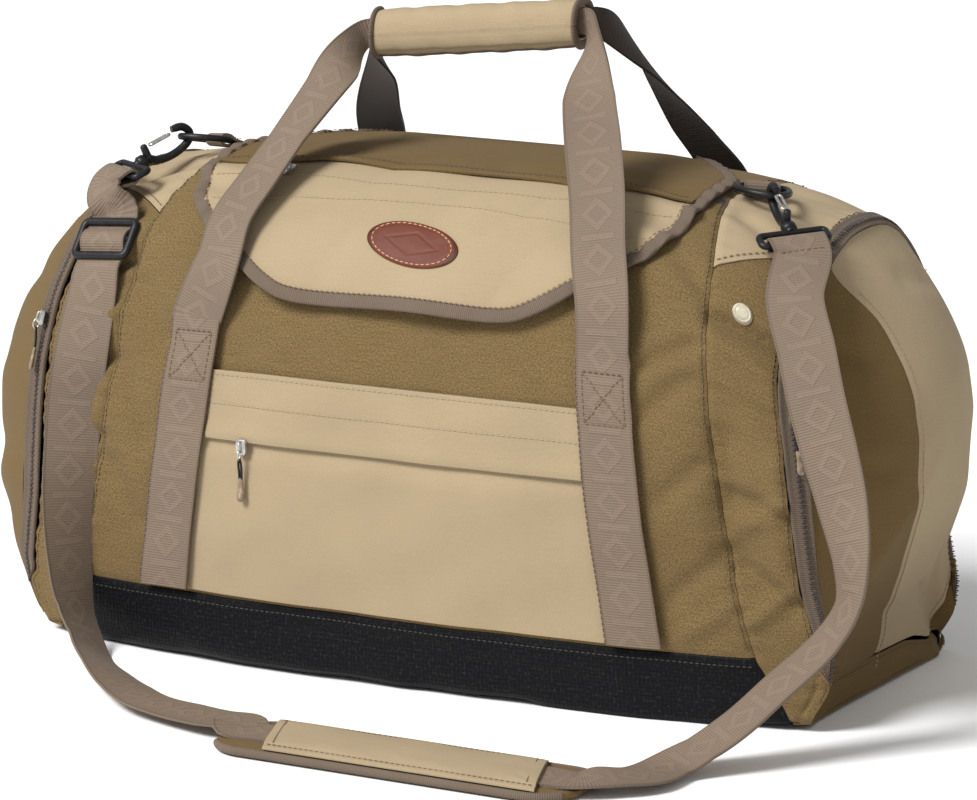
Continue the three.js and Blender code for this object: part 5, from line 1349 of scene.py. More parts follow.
class BAG_OT_grip(bpy.types.Operator):
    """Padded grip closed round the straps, with bound edges and a sewn flap"""

    bl_idname = "bag.grip"
    bl_label = "Grip"

    def execute(self, context):
        along = np.linspace(-0.5, 0.5, 81)
        turn = np.linspace(0, 2 * np.pi, 61)[:-1]
        a, t = np.meshgrid(along, turn, indexing="ij")
        soft = 1 - 0.07 * (2 * np.abs(a)) ** 6 + 0.02 * np.sin(a * 31 + 2 * np.sin(t))
        soft = soft + 0.012 * np.sin(a * 60 + t * 3)
        channel = -0.05 * np.exp(-((t - 2.2) / 0.10) ** 2) - 0.04 * np.exp(-((t - 5.3) / 0.12) ** 2)
        size = soft + channel
        square = 0.82
        y = -np.sign(np.cos(t)) * np.abs(np.cos(t)) ** square * GRIP["deep"] / 2 * size
        z = np.sign(np.sin(t)) * np.abs(np.sin(t)) ** square * GRIP["high"] / 2 * size
        x = a * GRIP["length"] * (1 - 0.012 * np.cos(t))
        outer = self.place(x, y, z)
        inner = self.place(x, y * 0.72, z * 0.72)
        rings = np.concatenate([outer, inner[::-1]])
        uv_y = np.stack([x + 300, t * 15], -1)
        uv = np.concatenate([uv_y, uv_y[::-1]])
        faces = grid_faces(len(rings), 60, wrap_rows=True, wrap_columns=True)
        grip = lay_mesh("grip_cover", rings, faces, finish("sand"), uv)
        held = np.abs(np.concatenate([along, along[::-1]])) > 0.46
        held = np.repeat(held[:, None], 60, 1)
        held[81:] = True
        held[:, [21, 44]] = True
        puff(grip, held.ravel(), 1.5)
        keep(grip, "bag", "sand_canvas", "grip")
        for word, k in (("left", 0), ("right", -1)):
            path = np.concatenate([outer[k], outer[k][:1]])[:-1]
            ring = Pile().tube(path, 3.4, (1, 0, 0), closed=True, flat=0.55)
            keep(ring.lay(f"grip_binding_{word}", finish("binding")), "bag", "taupe_webbing")
        flap = outer[:, 44] + np.array([0, -0.2, -0.2])
        edge = Pile().tube(flap, 3.0, (0, 0, 1), flat=0.6)
        keep(edge.lay("grip_binding_flap", finish("binding")), "bag", "taupe_webbing")
        out = unit(outer[4:-4, 21] - inner[4:-4, 21])
        rows = [(outer[4:-4, 21] + out * 0.3, out)]
        keep(stitches("grip_stitches", rows, finish("thread_sand")), "bag", "sand_canvas")
        return {"FINISHED"}

    def place(self, x, y, z):
        return np.stack([GRIP["x"] + x, GRIP["y"] + y, GRIP["z"] + x * GRIP["tilt"] + z], -1)


# Hard parts
CARRIERS = {"right": (1, 0.728, 0.957, 0.885, 0.868), "left": (-1, 0.728, 0.957, 0.835, 0.873)}
RING_WIRE = 5
RING_REACH = 30
RING_BAR = 34
HOOK_WIRE = 6
HOOK_REACH = 34
HOOK_BACK = 5.5
HOOK_FRONT = 11.5
GATE_WIRE = 2.4
GATE_GAP = 0.8
SLOT_LENGTH = 43
SLOT_FRAME = 5
SLOT_HEIGHT = 7
HOOK_START = SLOT_FRAME / 2 + 12
HOOK_TIP = HOOK_START + HOOK_REACH * 0.62
STRAP_BAR = -SLOT_HEIGHT - SLOT_FRAME
ADJUSTER_PITCH = 14
RING_IN_HOOK = HOOK_START + HOOK_REACH - (HOOK_WIRE + RING_WIRE) / 2 - 1


class Frame:
    """A right-handed frame: x along, z outwards."""

    def __init__(self, place, along, outward):
        self.place = np.array(place, float)
        self.x = unit(np.array(along, float))
        self.z = unit(outward - self.x * np.dot(outward, self.x))
        self.y = np.cross(self.z, self.x)

    def at(self, points):
        points = np.asarray(points, float)
        return self.place + points[..., :1] * self.x + points[..., 1:2] * self.y + points[..., 2:3] * self.z


def standing(x, w, height):
    """A place a height above the bare skin, and the outward direction there."""
    normal = unit(np.cross(skin(x + 0.5, w) - skin(x - 0.5, w), skin(x, w + 0.001) - skin(x, w - 0.001)))
    return skin(x, w) + normal * height, normal


def in_bag(rows):
    """Places given as shares of the seam half length, half depth and bag height."""
    return np.array(rows, float) * np.array([HALF_LENGTH, HALF_DEPTH, BAG_HEIGHT])


def ring_frame(word):
    """Frame of a D-ring: its bar on the bag, its reach towards the strap."""
    sign, bar_x, bar_w, strap_x, strap_w = CARRIERS[word]
    bar, normal = standing(sign * bar_x * HALF_LENGTH, bar_w, 8)
    aim, _ = standing(sign * strap_x * HALF_LENGTH, strap_w, 40)
    return Frame(bar, aim - bar, normal)


def hook_frame(word):
    """Frame of a snap hook: from the strap's side towards the ring in it."""
    sign, _, _, strap_x, strap_w = CARRIERS[word]
    ring = ring_frame(word).at([RING_REACH, 0, 0])
    foot, normal = standing(sign * strap_x * HALF_LENGTH, strap_w, 17)
    along = unit(ring - foot)
    out = unit(normal - along * np.dot(normal, along))
    return Frame(ring - along * RING_IN_HOOK + out * (HOOK_BACK - HOOK_FRONT) / 2, along, out)


def adjuster_frame():
    """Frame of the adjuster on the left of the shoulder strap."""
    return Frame(in_bag([-0.863, -0.744, 0.8204]), [0, -0.62, -0.78], np.array([-0.15, -0.78, 0.6]))


def loop(x0, x1, half, corner, steps=96):
    """A rounded rectangle in the (x, y) plane, as an even closed path."""
    turn = np.linspace(0, 2 * np.pi, 193)[:-1] + np.pi / 4
    cx, cy = np.cos(turn), np.sin(turn)
    reach = np.array([(x1 - x0) / 2 - corner, half - corner])
    quarter = np.stack([np.sign(cx) * reach[0], np.sign(cy) * reach[1]], -1)
    flat = quarter + corner * np.stack([cx, cy], -1) + np.array([(x0 + x1) / 2, 0])
    path = resample(np.concatenate([flat, flat[:1]]), steps)[:-1]
    return np.concatenate([path, np.zeros((len(path), 1))], axis=1)


class BAG_OT_rings(bpy.types.Operator):
    """D-rings held by folded webbing tabs"""

    bl_idname = "bag.rings"
    bl_label = "Rings"

    def execute(self, context):
        for word in CARRIERS:
            at = ring_frame(word)
            half = RING_BAR / 2
            shape = [
                (0, -half), (0, -half * 0.4), (0, half * 0.4), (0, half), (RING_REACH * 0.25, half * 1.08),
                (RING_REACH * 0.75, half * 0.72), (RING_REACH, 0), (RING_REACH * 0.75, -half * 0.72),
                (RING_REACH * 0.25, -half * 1.08),
            ]
            flat = curve_through(shape, 120, closed=True)[:-1]
            path = np.concatenate([flat, np.zeros((len(flat), 1))], axis=1)
            pile = Pile().tube(at.at(path), RING_WIRE / 2, at.z, closed=True)
            keep(pile.lay(f"d_ring_wire_{word}", finish("nylon")), "bag", "moulded_nylon", f"d_ring_{word}")
            self.tab(word, at)
        return {"FINISHED"}

    def tab(self, word, at):
        """A band folded over the ring's bar, its two tails sewn down together."""
        radius = RING_WIRE / 2 + 1.4
        turn = np.linspace(0, np.pi, 13)
        wrap = np.stack([np.sin(turn) * radius, np.cos(turn) * radius], -1)
        lead = [(-16, -radius + 2.6), (-7.2, 0.8), (-radius, radius * 0.8)]
        rows = np.concatenate([lead, wrap, [(-radius, -radius), (-16, -radius)]])
        path = curve_through(rows, 70)
        centre = at.at(np.stack([path[:, 0], 0 * path[:, 0], path[:, 1]], -1))
        points, normals = band_grid(centre, np.repeat(at.y[None], len(centre), 0), 26)
        tab = lay_band(f"ring_tab_band_{word}", points, normals, "taupe_plain", 1.9)
        keep(tab, "bag", "taupe_webbing", f"ring_tab_{word}")
        y = np.linspace(-11, 11, 30)
        rows = []
        for x in (-9.0, -13.0):
            row = at.at(np.stack([0 * y + x, y, 0 * y + (2.4 if x > -10 else 1.6)], -1))
            rows.append((row, np.repeat(at.z[None], len(row), 0)))
        keep(stitches(f"ring_tab_stitches_{word}", rows, finish("thread_brown")), "bag", "taupe_webbing")


class BAG_OT_hooks(bpy.types.Operator):
    """Swivel snap hooks with their spring gates, and the strap adjuster"""

    bl_idname = "bag.hooks"
    bl_label = "Hooks and adjuster"

    def execute(self, context):
        for word in CARRIERS:
            at = hook_frame(word)
            slot = loop(STRAP_BAR, 0, (SLOT_LENGTH + SLOT_FRAME) / 2, 3.2)
            pile = Pile().tube(at.at(slot), SLOT_FRAME / 2, at.z, closed=True)
            barrel = np.array([
                (-0.5, 3.4), (1.5, 3.6), (2.2, 4.6), (3.2, 5.5), (7.6, 5.5), (8.6, 4.8), (9.2, 3.3),
                (10.2, 3.3),
                (10.8, 4.2), (12.6, 4.2), (13.6, 3.2), (14.4, 2.4),
            ])
            path = np.stack([barrel[:, 0], 0 * barrel[:, 0], 0 * barrel[:, 0]], -1)
            pile.tube(at.at(path), barrel[:, 1], at.y, sides=24)
            arc = curve_through([
                (HOOK_START - 2, -0.4), (HOOK_START + 2, -HOOK_BACK * 0.6),
                (HOOK_START + HOOK_REACH * 0.25, -HOOK_BACK),
                (HOOK_START + HOOK_REACH * 0.6, -HOOK_BACK), (HOOK_START + HOOK_REACH * 0.9, -HOOK_BACK * 0.4),
                (HOOK_START + HOOK_REACH, (HOOK_FRONT - HOOK_BACK) / 2),
                (HOOK_START + HOOK_REACH * 0.9, HOOK_FRONT * 0.8),
                (HOOK_TIP + 0.8, HOOK_FRONT),
            ], 90)
            path = np.stack([arc[:, 0], 0 * arc[:, 0], arc[:, 1]], -1)
            thick = HOOK_WIRE / 2 * (1 - 0.18 * smooth_step(np.arange(len(path)), 82, 90))
            pile.tube(at.at(path), thick, at.y, sides=16)
            heel = np.array([(HOOK_START - 3, 0, z) for z in (-1, 4, HOOK_FRONT - 1, HOOK_FRONT)])
            pile.tube(at.at(heel), np.array([3, 2.9, 2.6, 1.7]), at.y, sides=16)
            keep(pile.lay(f"snap_hook_body_{word}", finish("nylon")), "bag", "moulded_nylon", f"snap_hook_{word}")
            self.gate(word, at)
        self.adjuster()
        return {"FINISHED"}

    def gate(self, word, at):
        half = (HOOK_WIRE - GATE_WIRE) / 2
        start, end = HOOK_START + GATE_WIRE / 2 + GATE_GAP, HOOK_TIP - GATE_WIRE
        flat = loop(start, end, half, 1.5)
        flat[:, 2] = HOOK_FRONT - GATE_WIRE
        pile = Pile().tube(at.at(flat), GATE_WIRE / 2 * 0.9, at.z, closed=True)
        keep(pile.lay(f"gate_wire_{word}", finish("metal")), f"gate_{word}", "zip_metal", f"hook_gate_{word}")

    def adjuster(self):
        at = adjuster_frame()
        half = (SLOT_LENGTH + 4) / 2
        pile = Pile().tube(at.at(loop(-ADJUSTER_PITCH, ADJUSTER_PITCH, half, 4)), 3.1, at.z, closed=True, flat=0.9)
        y = np.linspace(-half, half, 12)
        pile.tube(at.at(np.stack([0 * y, y, 0 * y], -1)), 2.8, at.z, flat=0.8)
        keep(pile.lay("adjuster_frame", finish("nylon")), "bag", "moulded_nylon", "strap_adjuster")


# Shoulder strap: shares of the half length, half depth and height, then the direction across.
STRAP_OVER = [(-0.897, -0.646, 0.898, -0.94, 0.33, -0.06)]
STRAP_LEFT = [
    (-0.863, -0.854, 0.7236, -0.98, 0.02, 0), (-0.877, -0.921, 0.5995, -0.93, -0.3, 0.1),
    (-0.891, -0.933, 0.5114, -0.87, -0.48, 0.1),
    (-0.897, -0.957, 0.3982, -0.78, -0.62, 0.09), (-0.901, -0.976, 0.2966, -0.6, -0.8, 0.06),
    (-0.89, -1.0, 0.174, -0.35, -0.93, 0.08),
    (-0.862, -1.037, 0.0851, -0.2, -0.92, 0.35), (-0.782, -1.159, 0.0309, -0.36, -0.72, 0.55),
    (-0.667, -1.366, 0.0185, -0.55, -0.7, 0.4),
    (-0.539, -1.598, 0.0185, -0.58, -0.78, 0.2), (-0.412, -1.78, 0.019, -0.5, -0.86, 0.07),
    (-0.297, -1.866, 0.021, -0.36, -0.93, 0),
    (-0.191, -1.927, 0.0242, -0.2, -0.98, 0), (-0.109, -1.951, 0.0275, -0.1, -1, 0),
]
STRAP_RIGHT = [
    (0.971, -0.732, 0.8354, -0.9, -0.4, -0.1), (1.024, -0.823, 0.7469, -0.9, -0.38, -0.15),
    (1.067, -0.89, 0.6602, -0.92, -0.32, -0.2),
    (1.11, -0.927, 0.5692, -0.93, -0.18, -0.28), (1.153, -0.963, 0.4766, -0.94, 0.06, -0.33),
    (1.189, -1.012, 0.3751, -0.86, 0.44, -0.24),
    (1.192, -1.049, 0.2906, -0.74, 0.68, -0.06), (1.154, -1.11, 0.2237, -0.7, 0.71, 0.1),
    (1.077, -1.29, 0.145, -0.69, 0.7, 0.15),
    (1.015, -1.42, 0.085, -0.72, 0.66, 0.12), (0.955, -1.535, 0.042, -0.85, 0.5, 0),
    (0.908, -1.66, 0.018, -1.0, 0.1, 0),
    (0.896, -1.878, 0.0221, -0.95, 0.31, 0.05), (0.844, -1.995, 0.0276, -0.77, 0.63, 0.05),
]
PAD_LENGTH = 282
PAD_WIDTH = 74
PAD_THICKNESS = 7
PAD_CORNER = 30
SLEEVE_LENGTH = 212
SLEEVE_SLANT = 14
SLEEVE_HEM = 0.84
SLEEVE_INSET = 2.2
SLEEVE_RISE = 3.6
PAD_TURN = -0.035


def pad_frame():
    """Frame of the shoulder pad on the floor."""
    place = in_bag([0.35, -2.043, 0])
    return Frame(place, [math.cos(PAD_TURN), math.sin(PAD_TURN), 0], np.array([0, 0, 1.0]))


def local_rows(at, rows, sign):
    """Rows of (x, z) in a frame as rows of place and across."""
    flat = np.array(rows, float)
    place = at.at(np.stack([flat[:, 0], 0 * flat[:, 0], flat[:, 1]], -1))
    return np.concatenate([place, np.repeat(sign * at.y[None], len(place), 0)], axis=1)


def fold_rows(at):
    """A strap folded round the hook's slot bar: a short tail below, the fold and the layer on top."""
    turn = np.radians([-90, -45, 0, 45, 90])
    radius = SLOT_FRAME * math.sqrt(0.5) + 0.35 + WEB_WALL / 2
    rise = WEB_WALL / 2 + 0.65
    fold = np.stack([STRAP_BAR + np.cos(turn) * radius, np.sin(turn) * radius], -1)
    tail = STRAP_BAR - SLOT_HEIGHT * 2
    return local_rows(at, np.concatenate([[(tail, -rise)], fold, [(tail, rise)]]), 1)


def band_along(rows, step=2.2):
    """A band through rows of place and across, even along its length."""
    rows = np.array(rows, float)
    dense = catmull(rows[:, :3])
    at = np.linspace(0, len(rows) - 1, len(dense))
    across = np.stack([np.interp(at, np.arange(len(rows)), rows[:, k]) for k in range(3, 6)], -1)
    count = int(length_of(dense) / step)
    run = np.concatenate([[0], np.cumsum(np.linalg.norm(np.diff(dense, axis=0), axis=1))])
    even = np.linspace(0, run[-1], count + 1)
    both = np.concatenate([dense, across], axis=1)
    return np.stack([np.interp(even, run, both[:, k]) for k in range(6)], -1)


class BAG_OT_shoulder_strap(bpy.types.Operator):
    """Shoulder strap from both hooks, down over the ends and along the floor into the pad's sleeve"""

    bl_idname = "bag.shoulder_strap"
    bl_label = "Shoulder strap"

    def execute(self, context):
        pad = pad_frame()
        level = PAD_THICKNESS + 0.35 + WEB_WALL / 2
        shares = (-0.46, -0.36, -0.15, -0.001)
        p, s = ADJUSTER_PITCH, 1.5 + 0.35 + WEB_WALL / 2 + 0.2
        weave = [(-1.6, -0.6), (-1, -1), (-0.8, -0.97), (-0.2, 0.97), (0.2, 0.97), (0.8, -0.97), (1, -1), (1.6, -0.6)]
        woven = local_rows(adjuster_frame(), [(x * p, z * s) for x, z in weave], -1)
        on_pad = lambda sign: local_rows(pad, [(-sign * share * PAD_LENGTH, level) for share in shares], sign)
        rows = {
            "left": [
                fold_rows(hook_frame("left")), self.table(STRAP_OVER), woven, self.table(STRAP_LEFT), on_pad(-1),
            ],
            "right": [fold_rows(hook_frame("right")), self.table(STRAP_RIGHT), on_pad(1)],
        }
        for word, parts in rows.items():
            band = band_along(np.concatenate(parts))
            points, normals = band_grid(band[:, :3], band[:, 3:], WEBBING)
            band = lay_band(f"shoulder_band_{word}", points, normals, "taupe")
            keep(band, "bag", "taupe_webbing", f"shoulder_strap_{word}")
            self.sew(word, hook_frame(word))
        return {"FINISHED"}

    def table(self, rows):
        rows = np.array(rows, float)
        return np.concatenate([in_bag(rows[:, :3]), rows[:, 3:]], axis=1)

    def sew(self, word, at):
        """Two rows of stitches across the hem behind the hook."""
        y = np.linspace(-16, 16, 40)
        rows = []
        for x in (STRAP_BAR - 10, STRAP_BAR - 13):
            row = at.at(np.stack([0 * y + x, y, 0 * y + 2.75], -1))
            rows.append((row, np.repeat(at.z[None], len(row), 0)))
        keep(stitches(f"hem_stitches_{word}", rows, finish("thread_brown")), "bag", "taupe_webbing")


def puff(piece, pinned, cap, pressure=4.0):
    """Cloth simulation under pressure with the sewn points held. The movement is capped and kept in the mesh."""
    mesh = piece.data
    rest = np.zeros(len(mesh.vertices) * 3)
    mesh.vertices.foreach_get("co", rest)
    sewn = piece.vertex_groups.new(name="sewn")
    sewn.add(np.flatnonzero(pinned).tolist(), 1.0, "REPLACE")
    air = piece.modifiers.new("air", "CLOTH")
    air.settings.use_pressure = True
    air.settings.uniform_pressure_force = pressure
    air.settings.vertex_group_mass = "sewn"
    air.settings.effector_weights.gravity = 0
    for moment in range(1, 21):
        bpy.context.scene.frame_set(moment)
    shaped = piece.evaluated_get(bpy.context.evaluated_depsgraph_get())
    moved = np.zeros_like(rest)
    shaped.data.vertices.foreach_get("co", moved)
    piece.modifiers.remove(air)
    piece.vertex_groups.remove(sewn)
    bpy.context.scene.frame_set(1)
    change = (moved - rest).reshape(-1, 3)
    size = np.maximum(np.linalg.norm(change, axis=1, keepdims=True), 1e-9)
    mesh.vertices.foreach_set("co", rest + (change * np.minimum(1, cap * MM / size)).ravel())
    mesh.update()


class BAG_OT_pad(bpy.types.Operator):
    """Shoulder pad: a bound olive cushion and a sand sleeve stitched over it with slanted ends"""

    bl_idname = "bag.pad"
    bl_label = "Shoulder pad"

    def execute(self, context):
        at = pad_frame()
        self.base(at)
        self.sleeve(at)
        return {"FINISHED"}

    def half_width(self, x):
        beyond = np.maximum(np.abs(x) - (PAD_LENGTH / 2 - PAD_CORNER), 0)
        return PAD_WIDTH / 2 - PAD_CORNER + np.sqrt(np.maximum(PAD_CORNER ** 2 - beyond ** 2, 1.0))

    def base(self, at):
        x = np.concatenate([[-1.0], np.linspace(-0.995, 0.995, 139), [1.0]])[:, None] * PAD_LENGTH / 2
        s = np.linspace(-1, 1, 41)[None]
        y = s * self.half_width(x)
        end = np.clip((np.abs(x) - 111) / 30, 0, 1)
        edge = np.maximum(np.abs(s) ** 8, end ** 4 * np.ones_like(s))
        full = PAD_THICKNESS / 2 * (0.34 + 0.66 * np.sqrt(1 - edge))
        top = at.at(np.stack([x + 0 * s, y, PAD_THICKNESS / 2 + full + 0 * y], -1))
        low = at.at(np.stack([x + 0 * s, y, PAD_THICKNESS / 2 - full + 0.2 + 0 * y], -1))
        base = shell("pad_cushion", top, low, np.stack([x + 0 * s, y], -1), finish("olive_fine"))
        near = (np.abs(s) > 0.9) | (end > 0.8)
        held = np.concatenate([near.ravel(), np.ones(near.size, bool)])
        puff(base, held, 0.8)
        keep(base, "bag", "olive_canvas", "pad_base")
        along = np.linspace(-1, 1, 160) * (PAD_LENGTH / 2 - 6)
        for word, side in (("front", -1), ("back", 1)):
            level = 0 * along + PAD_THICKNESS / 2 + 0.4
            line = at.at(np.stack([along, side * (self.half_width(along) - 0.6), level], -1))
            pile = Pile().tube(line, 2.4, (0, 0, 1), sides=12, flat=1.3)
            keep(pile.lay(f"pad_binding_{word}", finish("binding")), "bag", "taupe_webbing")

    def sleeve(self, at):
        u = np.linspace(-1, 1, 121)[:, None]
        s = np.linspace(-1, 1, 45)[None]
        x = u * SLEEVE_LENGTH / 2 - s * SLEEVE_SLANT
        y = s * (PAD_WIDTH / 2 - SLEEVE_INSET)
        slump = 0.5 * np.sin(x / 13 + 2 * s) * (1 - s ** 2)
        rise = SLEEVE_RISE * (1 - np.abs(s) ** 5) * (0.75 + 0.25 * (1 - np.abs(u) ** 12)) + slump
        channel = -1.0 * np.exp(-((np.abs(s) - SLEEVE_HEM) * PAD_WIDTH / 2 / 1.6) ** 2)
        top = at.at(np.stack([x, y + 0 * x, PAD_THICKNESS + 1.6 + rise + channel], -1))
        low = at.at(np.stack([x, y + 0 * x, PAD_THICKNESS + 0.5 + rise * 0.2], -1))
        made = shell("pad_cover", top, low, np.stack([x, y + 0 * x], -1), finish("sand"))
        near = np.broadcast_to(np.abs(s) > 0.8, x.shape)
        held = np.concatenate([near.ravel(), np.ones(near.size, bool)])
        puff(made, held, 2.0)
        keep(made, "bag", "sand_canvas", "pad_sleeve")
        rows = []
        up = np.array([[0, 0, 1.0]])
        along = np.linspace(-1, 1, 160)
        for side in (-SLEEVE_HEM, SLEEVE_HEM):
            run = along * (SLEEVE_LENGTH / 2 - 2) - side * SLEEVE_SLANT
            over = 0 * along + side * (PAD_WIDTH / 2 - SLEEVE_INSET)
            line = np.stack([run, over, 0 * along + PAD_THICKNESS + 3.0], -1)
            rows.append((at.at(line), np.repeat(up, 160, 0)))
        for end in (-1, 1):
            side = np.linspace(-0.8, 0.8, 40)
            level = PAD_THICKNESS + 2.0 + SLEEVE_RISE * (1 - np.abs(side) ** 5) * 0.8
            run = end * (SLEEVE_LENGTH / 2 - 7) - side * SLEEVE_SLANT
            line = np.stack([run, side * (PAD_WIDTH / 2 - SLEEVE_INSET), level], -1)
            rows.append((at.at(line), np.repeat(up, 40, 0)))
        keep(stitches("pad_stitches", rows, finish("thread_brown")), "bag", "sand_canvas")


# Trim
PATCH = {"x": 3, "w": 0.765, "tilt": -0.14, "long": 75, "wide": 32}


def disc_grid(long, wide, rings=24, sides=96):
    """Polar grid of an oval: (radius share, turn) as two flat coordinates."""
    r = np.linspace(0.02, 1, rings)[:, None]
    t = np.linspace(0, 2 * np.pi, sides, endpoint=False)[None]
    return r + 0 * t, long / 2 * r * np.cos(t), wide / 2 * r * np.sin(t)


def lay_disc(name, points, under, flat, material):
    """A closed plate from two polar grids: both faces, the rim between them and the two middles."""
    rings, sides = points.shape[:2]
    count = rings * sides
    pile = Pile()
    top = grid_faces(rings, sides, wrap_columns=True)
    low = grid_faces(rings, sides, count, wrap_columns=True)[:, ::-1]
    i = np.arange(sides)
    j = np.roll(i, -1)
    outer = (rings - 1) * sides
    rim = np.stack([outer + i, outer + j, count + outer + j, count + outer + i], -1)
    centres = [points[:1].mean(1), under[:1].mean(1)]
    both = np.concatenate([points.reshape(-1, 3), under.reshape(-1, 3), *centres])
    upper = np.stack([j, i, np.full(sides, 2 * count)], -1)
    lower = np.stack([count + i, count + j, np.full(sides, 2 * count + 1)], -1)
    fans = [upper, lower]
    coords = np.concatenate([flat.reshape(-1, 2)] * 2 + [np.zeros((2, 2))])
    centre = both[2 * count]
    ring = points[1]
    facing = np.cross(ring[0] - centre, ring[1] - centre) @ (centre - both[2 * count + 1])
    groups = [top, low, rim, *fans]
    if facing > 0:
        groups = [group[:, ::-1] for group in groups]
    pile.add(both, groups, coords)
    return pile.lay(name, material)


class BAG_OT_trim(bpy.types.Operator):
    """Leather oval with a stitched border, the snap stud, and the zips' sliders and pulls"""

    bl_idname = "bag.trim"
    bl_label = "Trim"

    def execute(self, context):
        self.patch()
        self.stud()
        down = lambda x, w: (skin(x, w - 0.001) - skin(x, w))
        for name, x, w, height in (("pocket", -118, 0.516, 5.6), ("main", -124, 0.858, 4.4)):
            place, normal = standing(x, w, height)
            self.slider(name, Frame(place, down(x, w), normal), name == "pocket")
        for end, (sign, *_rest) in ENDS.items():
            on = lambda w: standing(sign * zip_reach(end, w), w, 0)
            place, normal = on(0.66)
            out = unit(normal + np.array([sign, 0, 0]))
            below = on(0.66 - 34 / HALF_GIRTH)[0]
            self.slider(f"end_{end}", Frame(place + out * 1.8, below - place, out), True)
        return {"FINISHED"}

    def patch(self):
        r, a, b = disc_grid(PATCH["long"], PATCH["wide"])
        tilt = PATCH["tilt"]
        x = PATCH["x"] + a * math.cos(tilt) - b * math.sin(tilt)
        w = PATCH["w"] + (a * math.sin(tilt) + b * math.cos(tilt)) / HALF_GIRTH
        edge = -0.9 * smooth_step(r, 0.93, 1) - 0.35 * np.exp(-((r - 0.84) / 0.02) ** 2)
        diamond = np.abs(np.abs(a) / 21 + np.abs(b) / 8 - 1)
        height = lid_height(x, w) + CLOTH + 1.9 + edge - 0.5 * np.exp(-(diamond / 0.08) ** 2)
        bare, normal = standing(x, w, 0)
        points = bare + normal * height[..., None]
        under = bare + normal * (lid_height(x, w) + CLOTH + 0.2)[..., None]
        oval = lay_disc("leather_oval", points, under, np.stack([a, b], -1), finish("leather"))
        keep(oval, "bag", "leather", "leather_patch")
        row = 20
        path = np.concatenate([points[row], points[row][:1]])
        normals = np.concatenate([normal[row], normal[row][:1]])
        keep(stitches("leather_stitches", [(path + normals * 0.2, normals)], finish("thread_tan")), "bag", "leather")

    def stud(self):
        r, a, b = disc_grid(14, 14, 20, 48)
        place, normal = standing(251 + a, 0.761 + b / HALF_GIRTH, 0)
        lift = crease_height(251 + a, 0.761 + b / HALF_GIRTH)
        height = lift + 2.6 - 1.6 * smooth_step(r, 0.8, 1) - 0.6 * np.exp(-((r - 0.66) / 0.07) ** 2)
        points = place + normal * height[..., None]
        under = place + normal * (lift + 0.1)[..., None]
        cap = lay_disc("stud_cap", points, under, np.stack([a, b], -1), finish("cream"))
        keep(cap, "bag", "stud_cream", "snap_stud")

    def slider(self, name, at, pull):
        """A slider's body, bridge and ring, and a looped cord that ends in a moulded tab."""
        axes = [at.x[None], at.y[None], at.z[None]]
        pile = Pile()
        pile.add(*as_groups(block_parts(at.at([[0, 0, 1.6]]), *axes, (11, 8, 3.2), 0.25)))
        arch = np.array([(-4, 0, 2.8), (-3, 0, 4.6), (0, 0, 5.2), (3, 0, 4.6), (4, 0, 2.8)])
        pile.tube(at.at(curve_through(arch, 24)), 0.8, at.y, sides=10)
        turn = np.linspace(0, 2 * np.pi, 40, endpoint=False)
        ring = np.stack([5.4 + 3.4 * np.cos(turn), 0.5 * np.sin(turn), 4.6 + 2.2 * np.sin(turn)], -1)
        pile.tube(at.at(ring), 0.7, at.y, sides=8, closed=True)
        keep(pile.lay(f"slider_body_{name}", finish("metal")), "bag", "zip_metal", f"slider_{name}")
        if not pull:
            return
        for side in (-0.8, 0.8):
            places = [(8, side * 0.4, 4.2), (12, side * 1.4, 3.6), (18, side * 1.3, 2.6), (24, side, 2.2)]
            line = curve_through(places, 30)
            cord = Pile().tube(at.at(line), 0.85, at.z, sides=10)
            word = "near" if side > 0 else "far"
            keep(cord.lay(f"pull_cord_{name}_{word}", finish("nylon")), "bag", "pull_cord")
        tab = Pile()
        shape = np.array([(22, 1.2), (23, 2.0), (25, 2.4), (29, 2.1), (33, 2.6), (36, 3.1), (38.5, 2.6), (39.6, 1.2)])
        path = np.stack([shape[:, 0], 0 * shape[:, 0], 0 * shape[:, 0] + 2.1], -1)
        tab.tube(at.at(path), shape[:, 1], at.z, sides=20, flat=0.55)
        keep(tab.lay(f"pull_tab_{name}", finish("tab")), "bag", "pull_cord", f"pull_{name}")


def as_groups(parts):
    """Parts with their faces in one group."""
    points, faces, uv = parts
    return points, [faces], uv


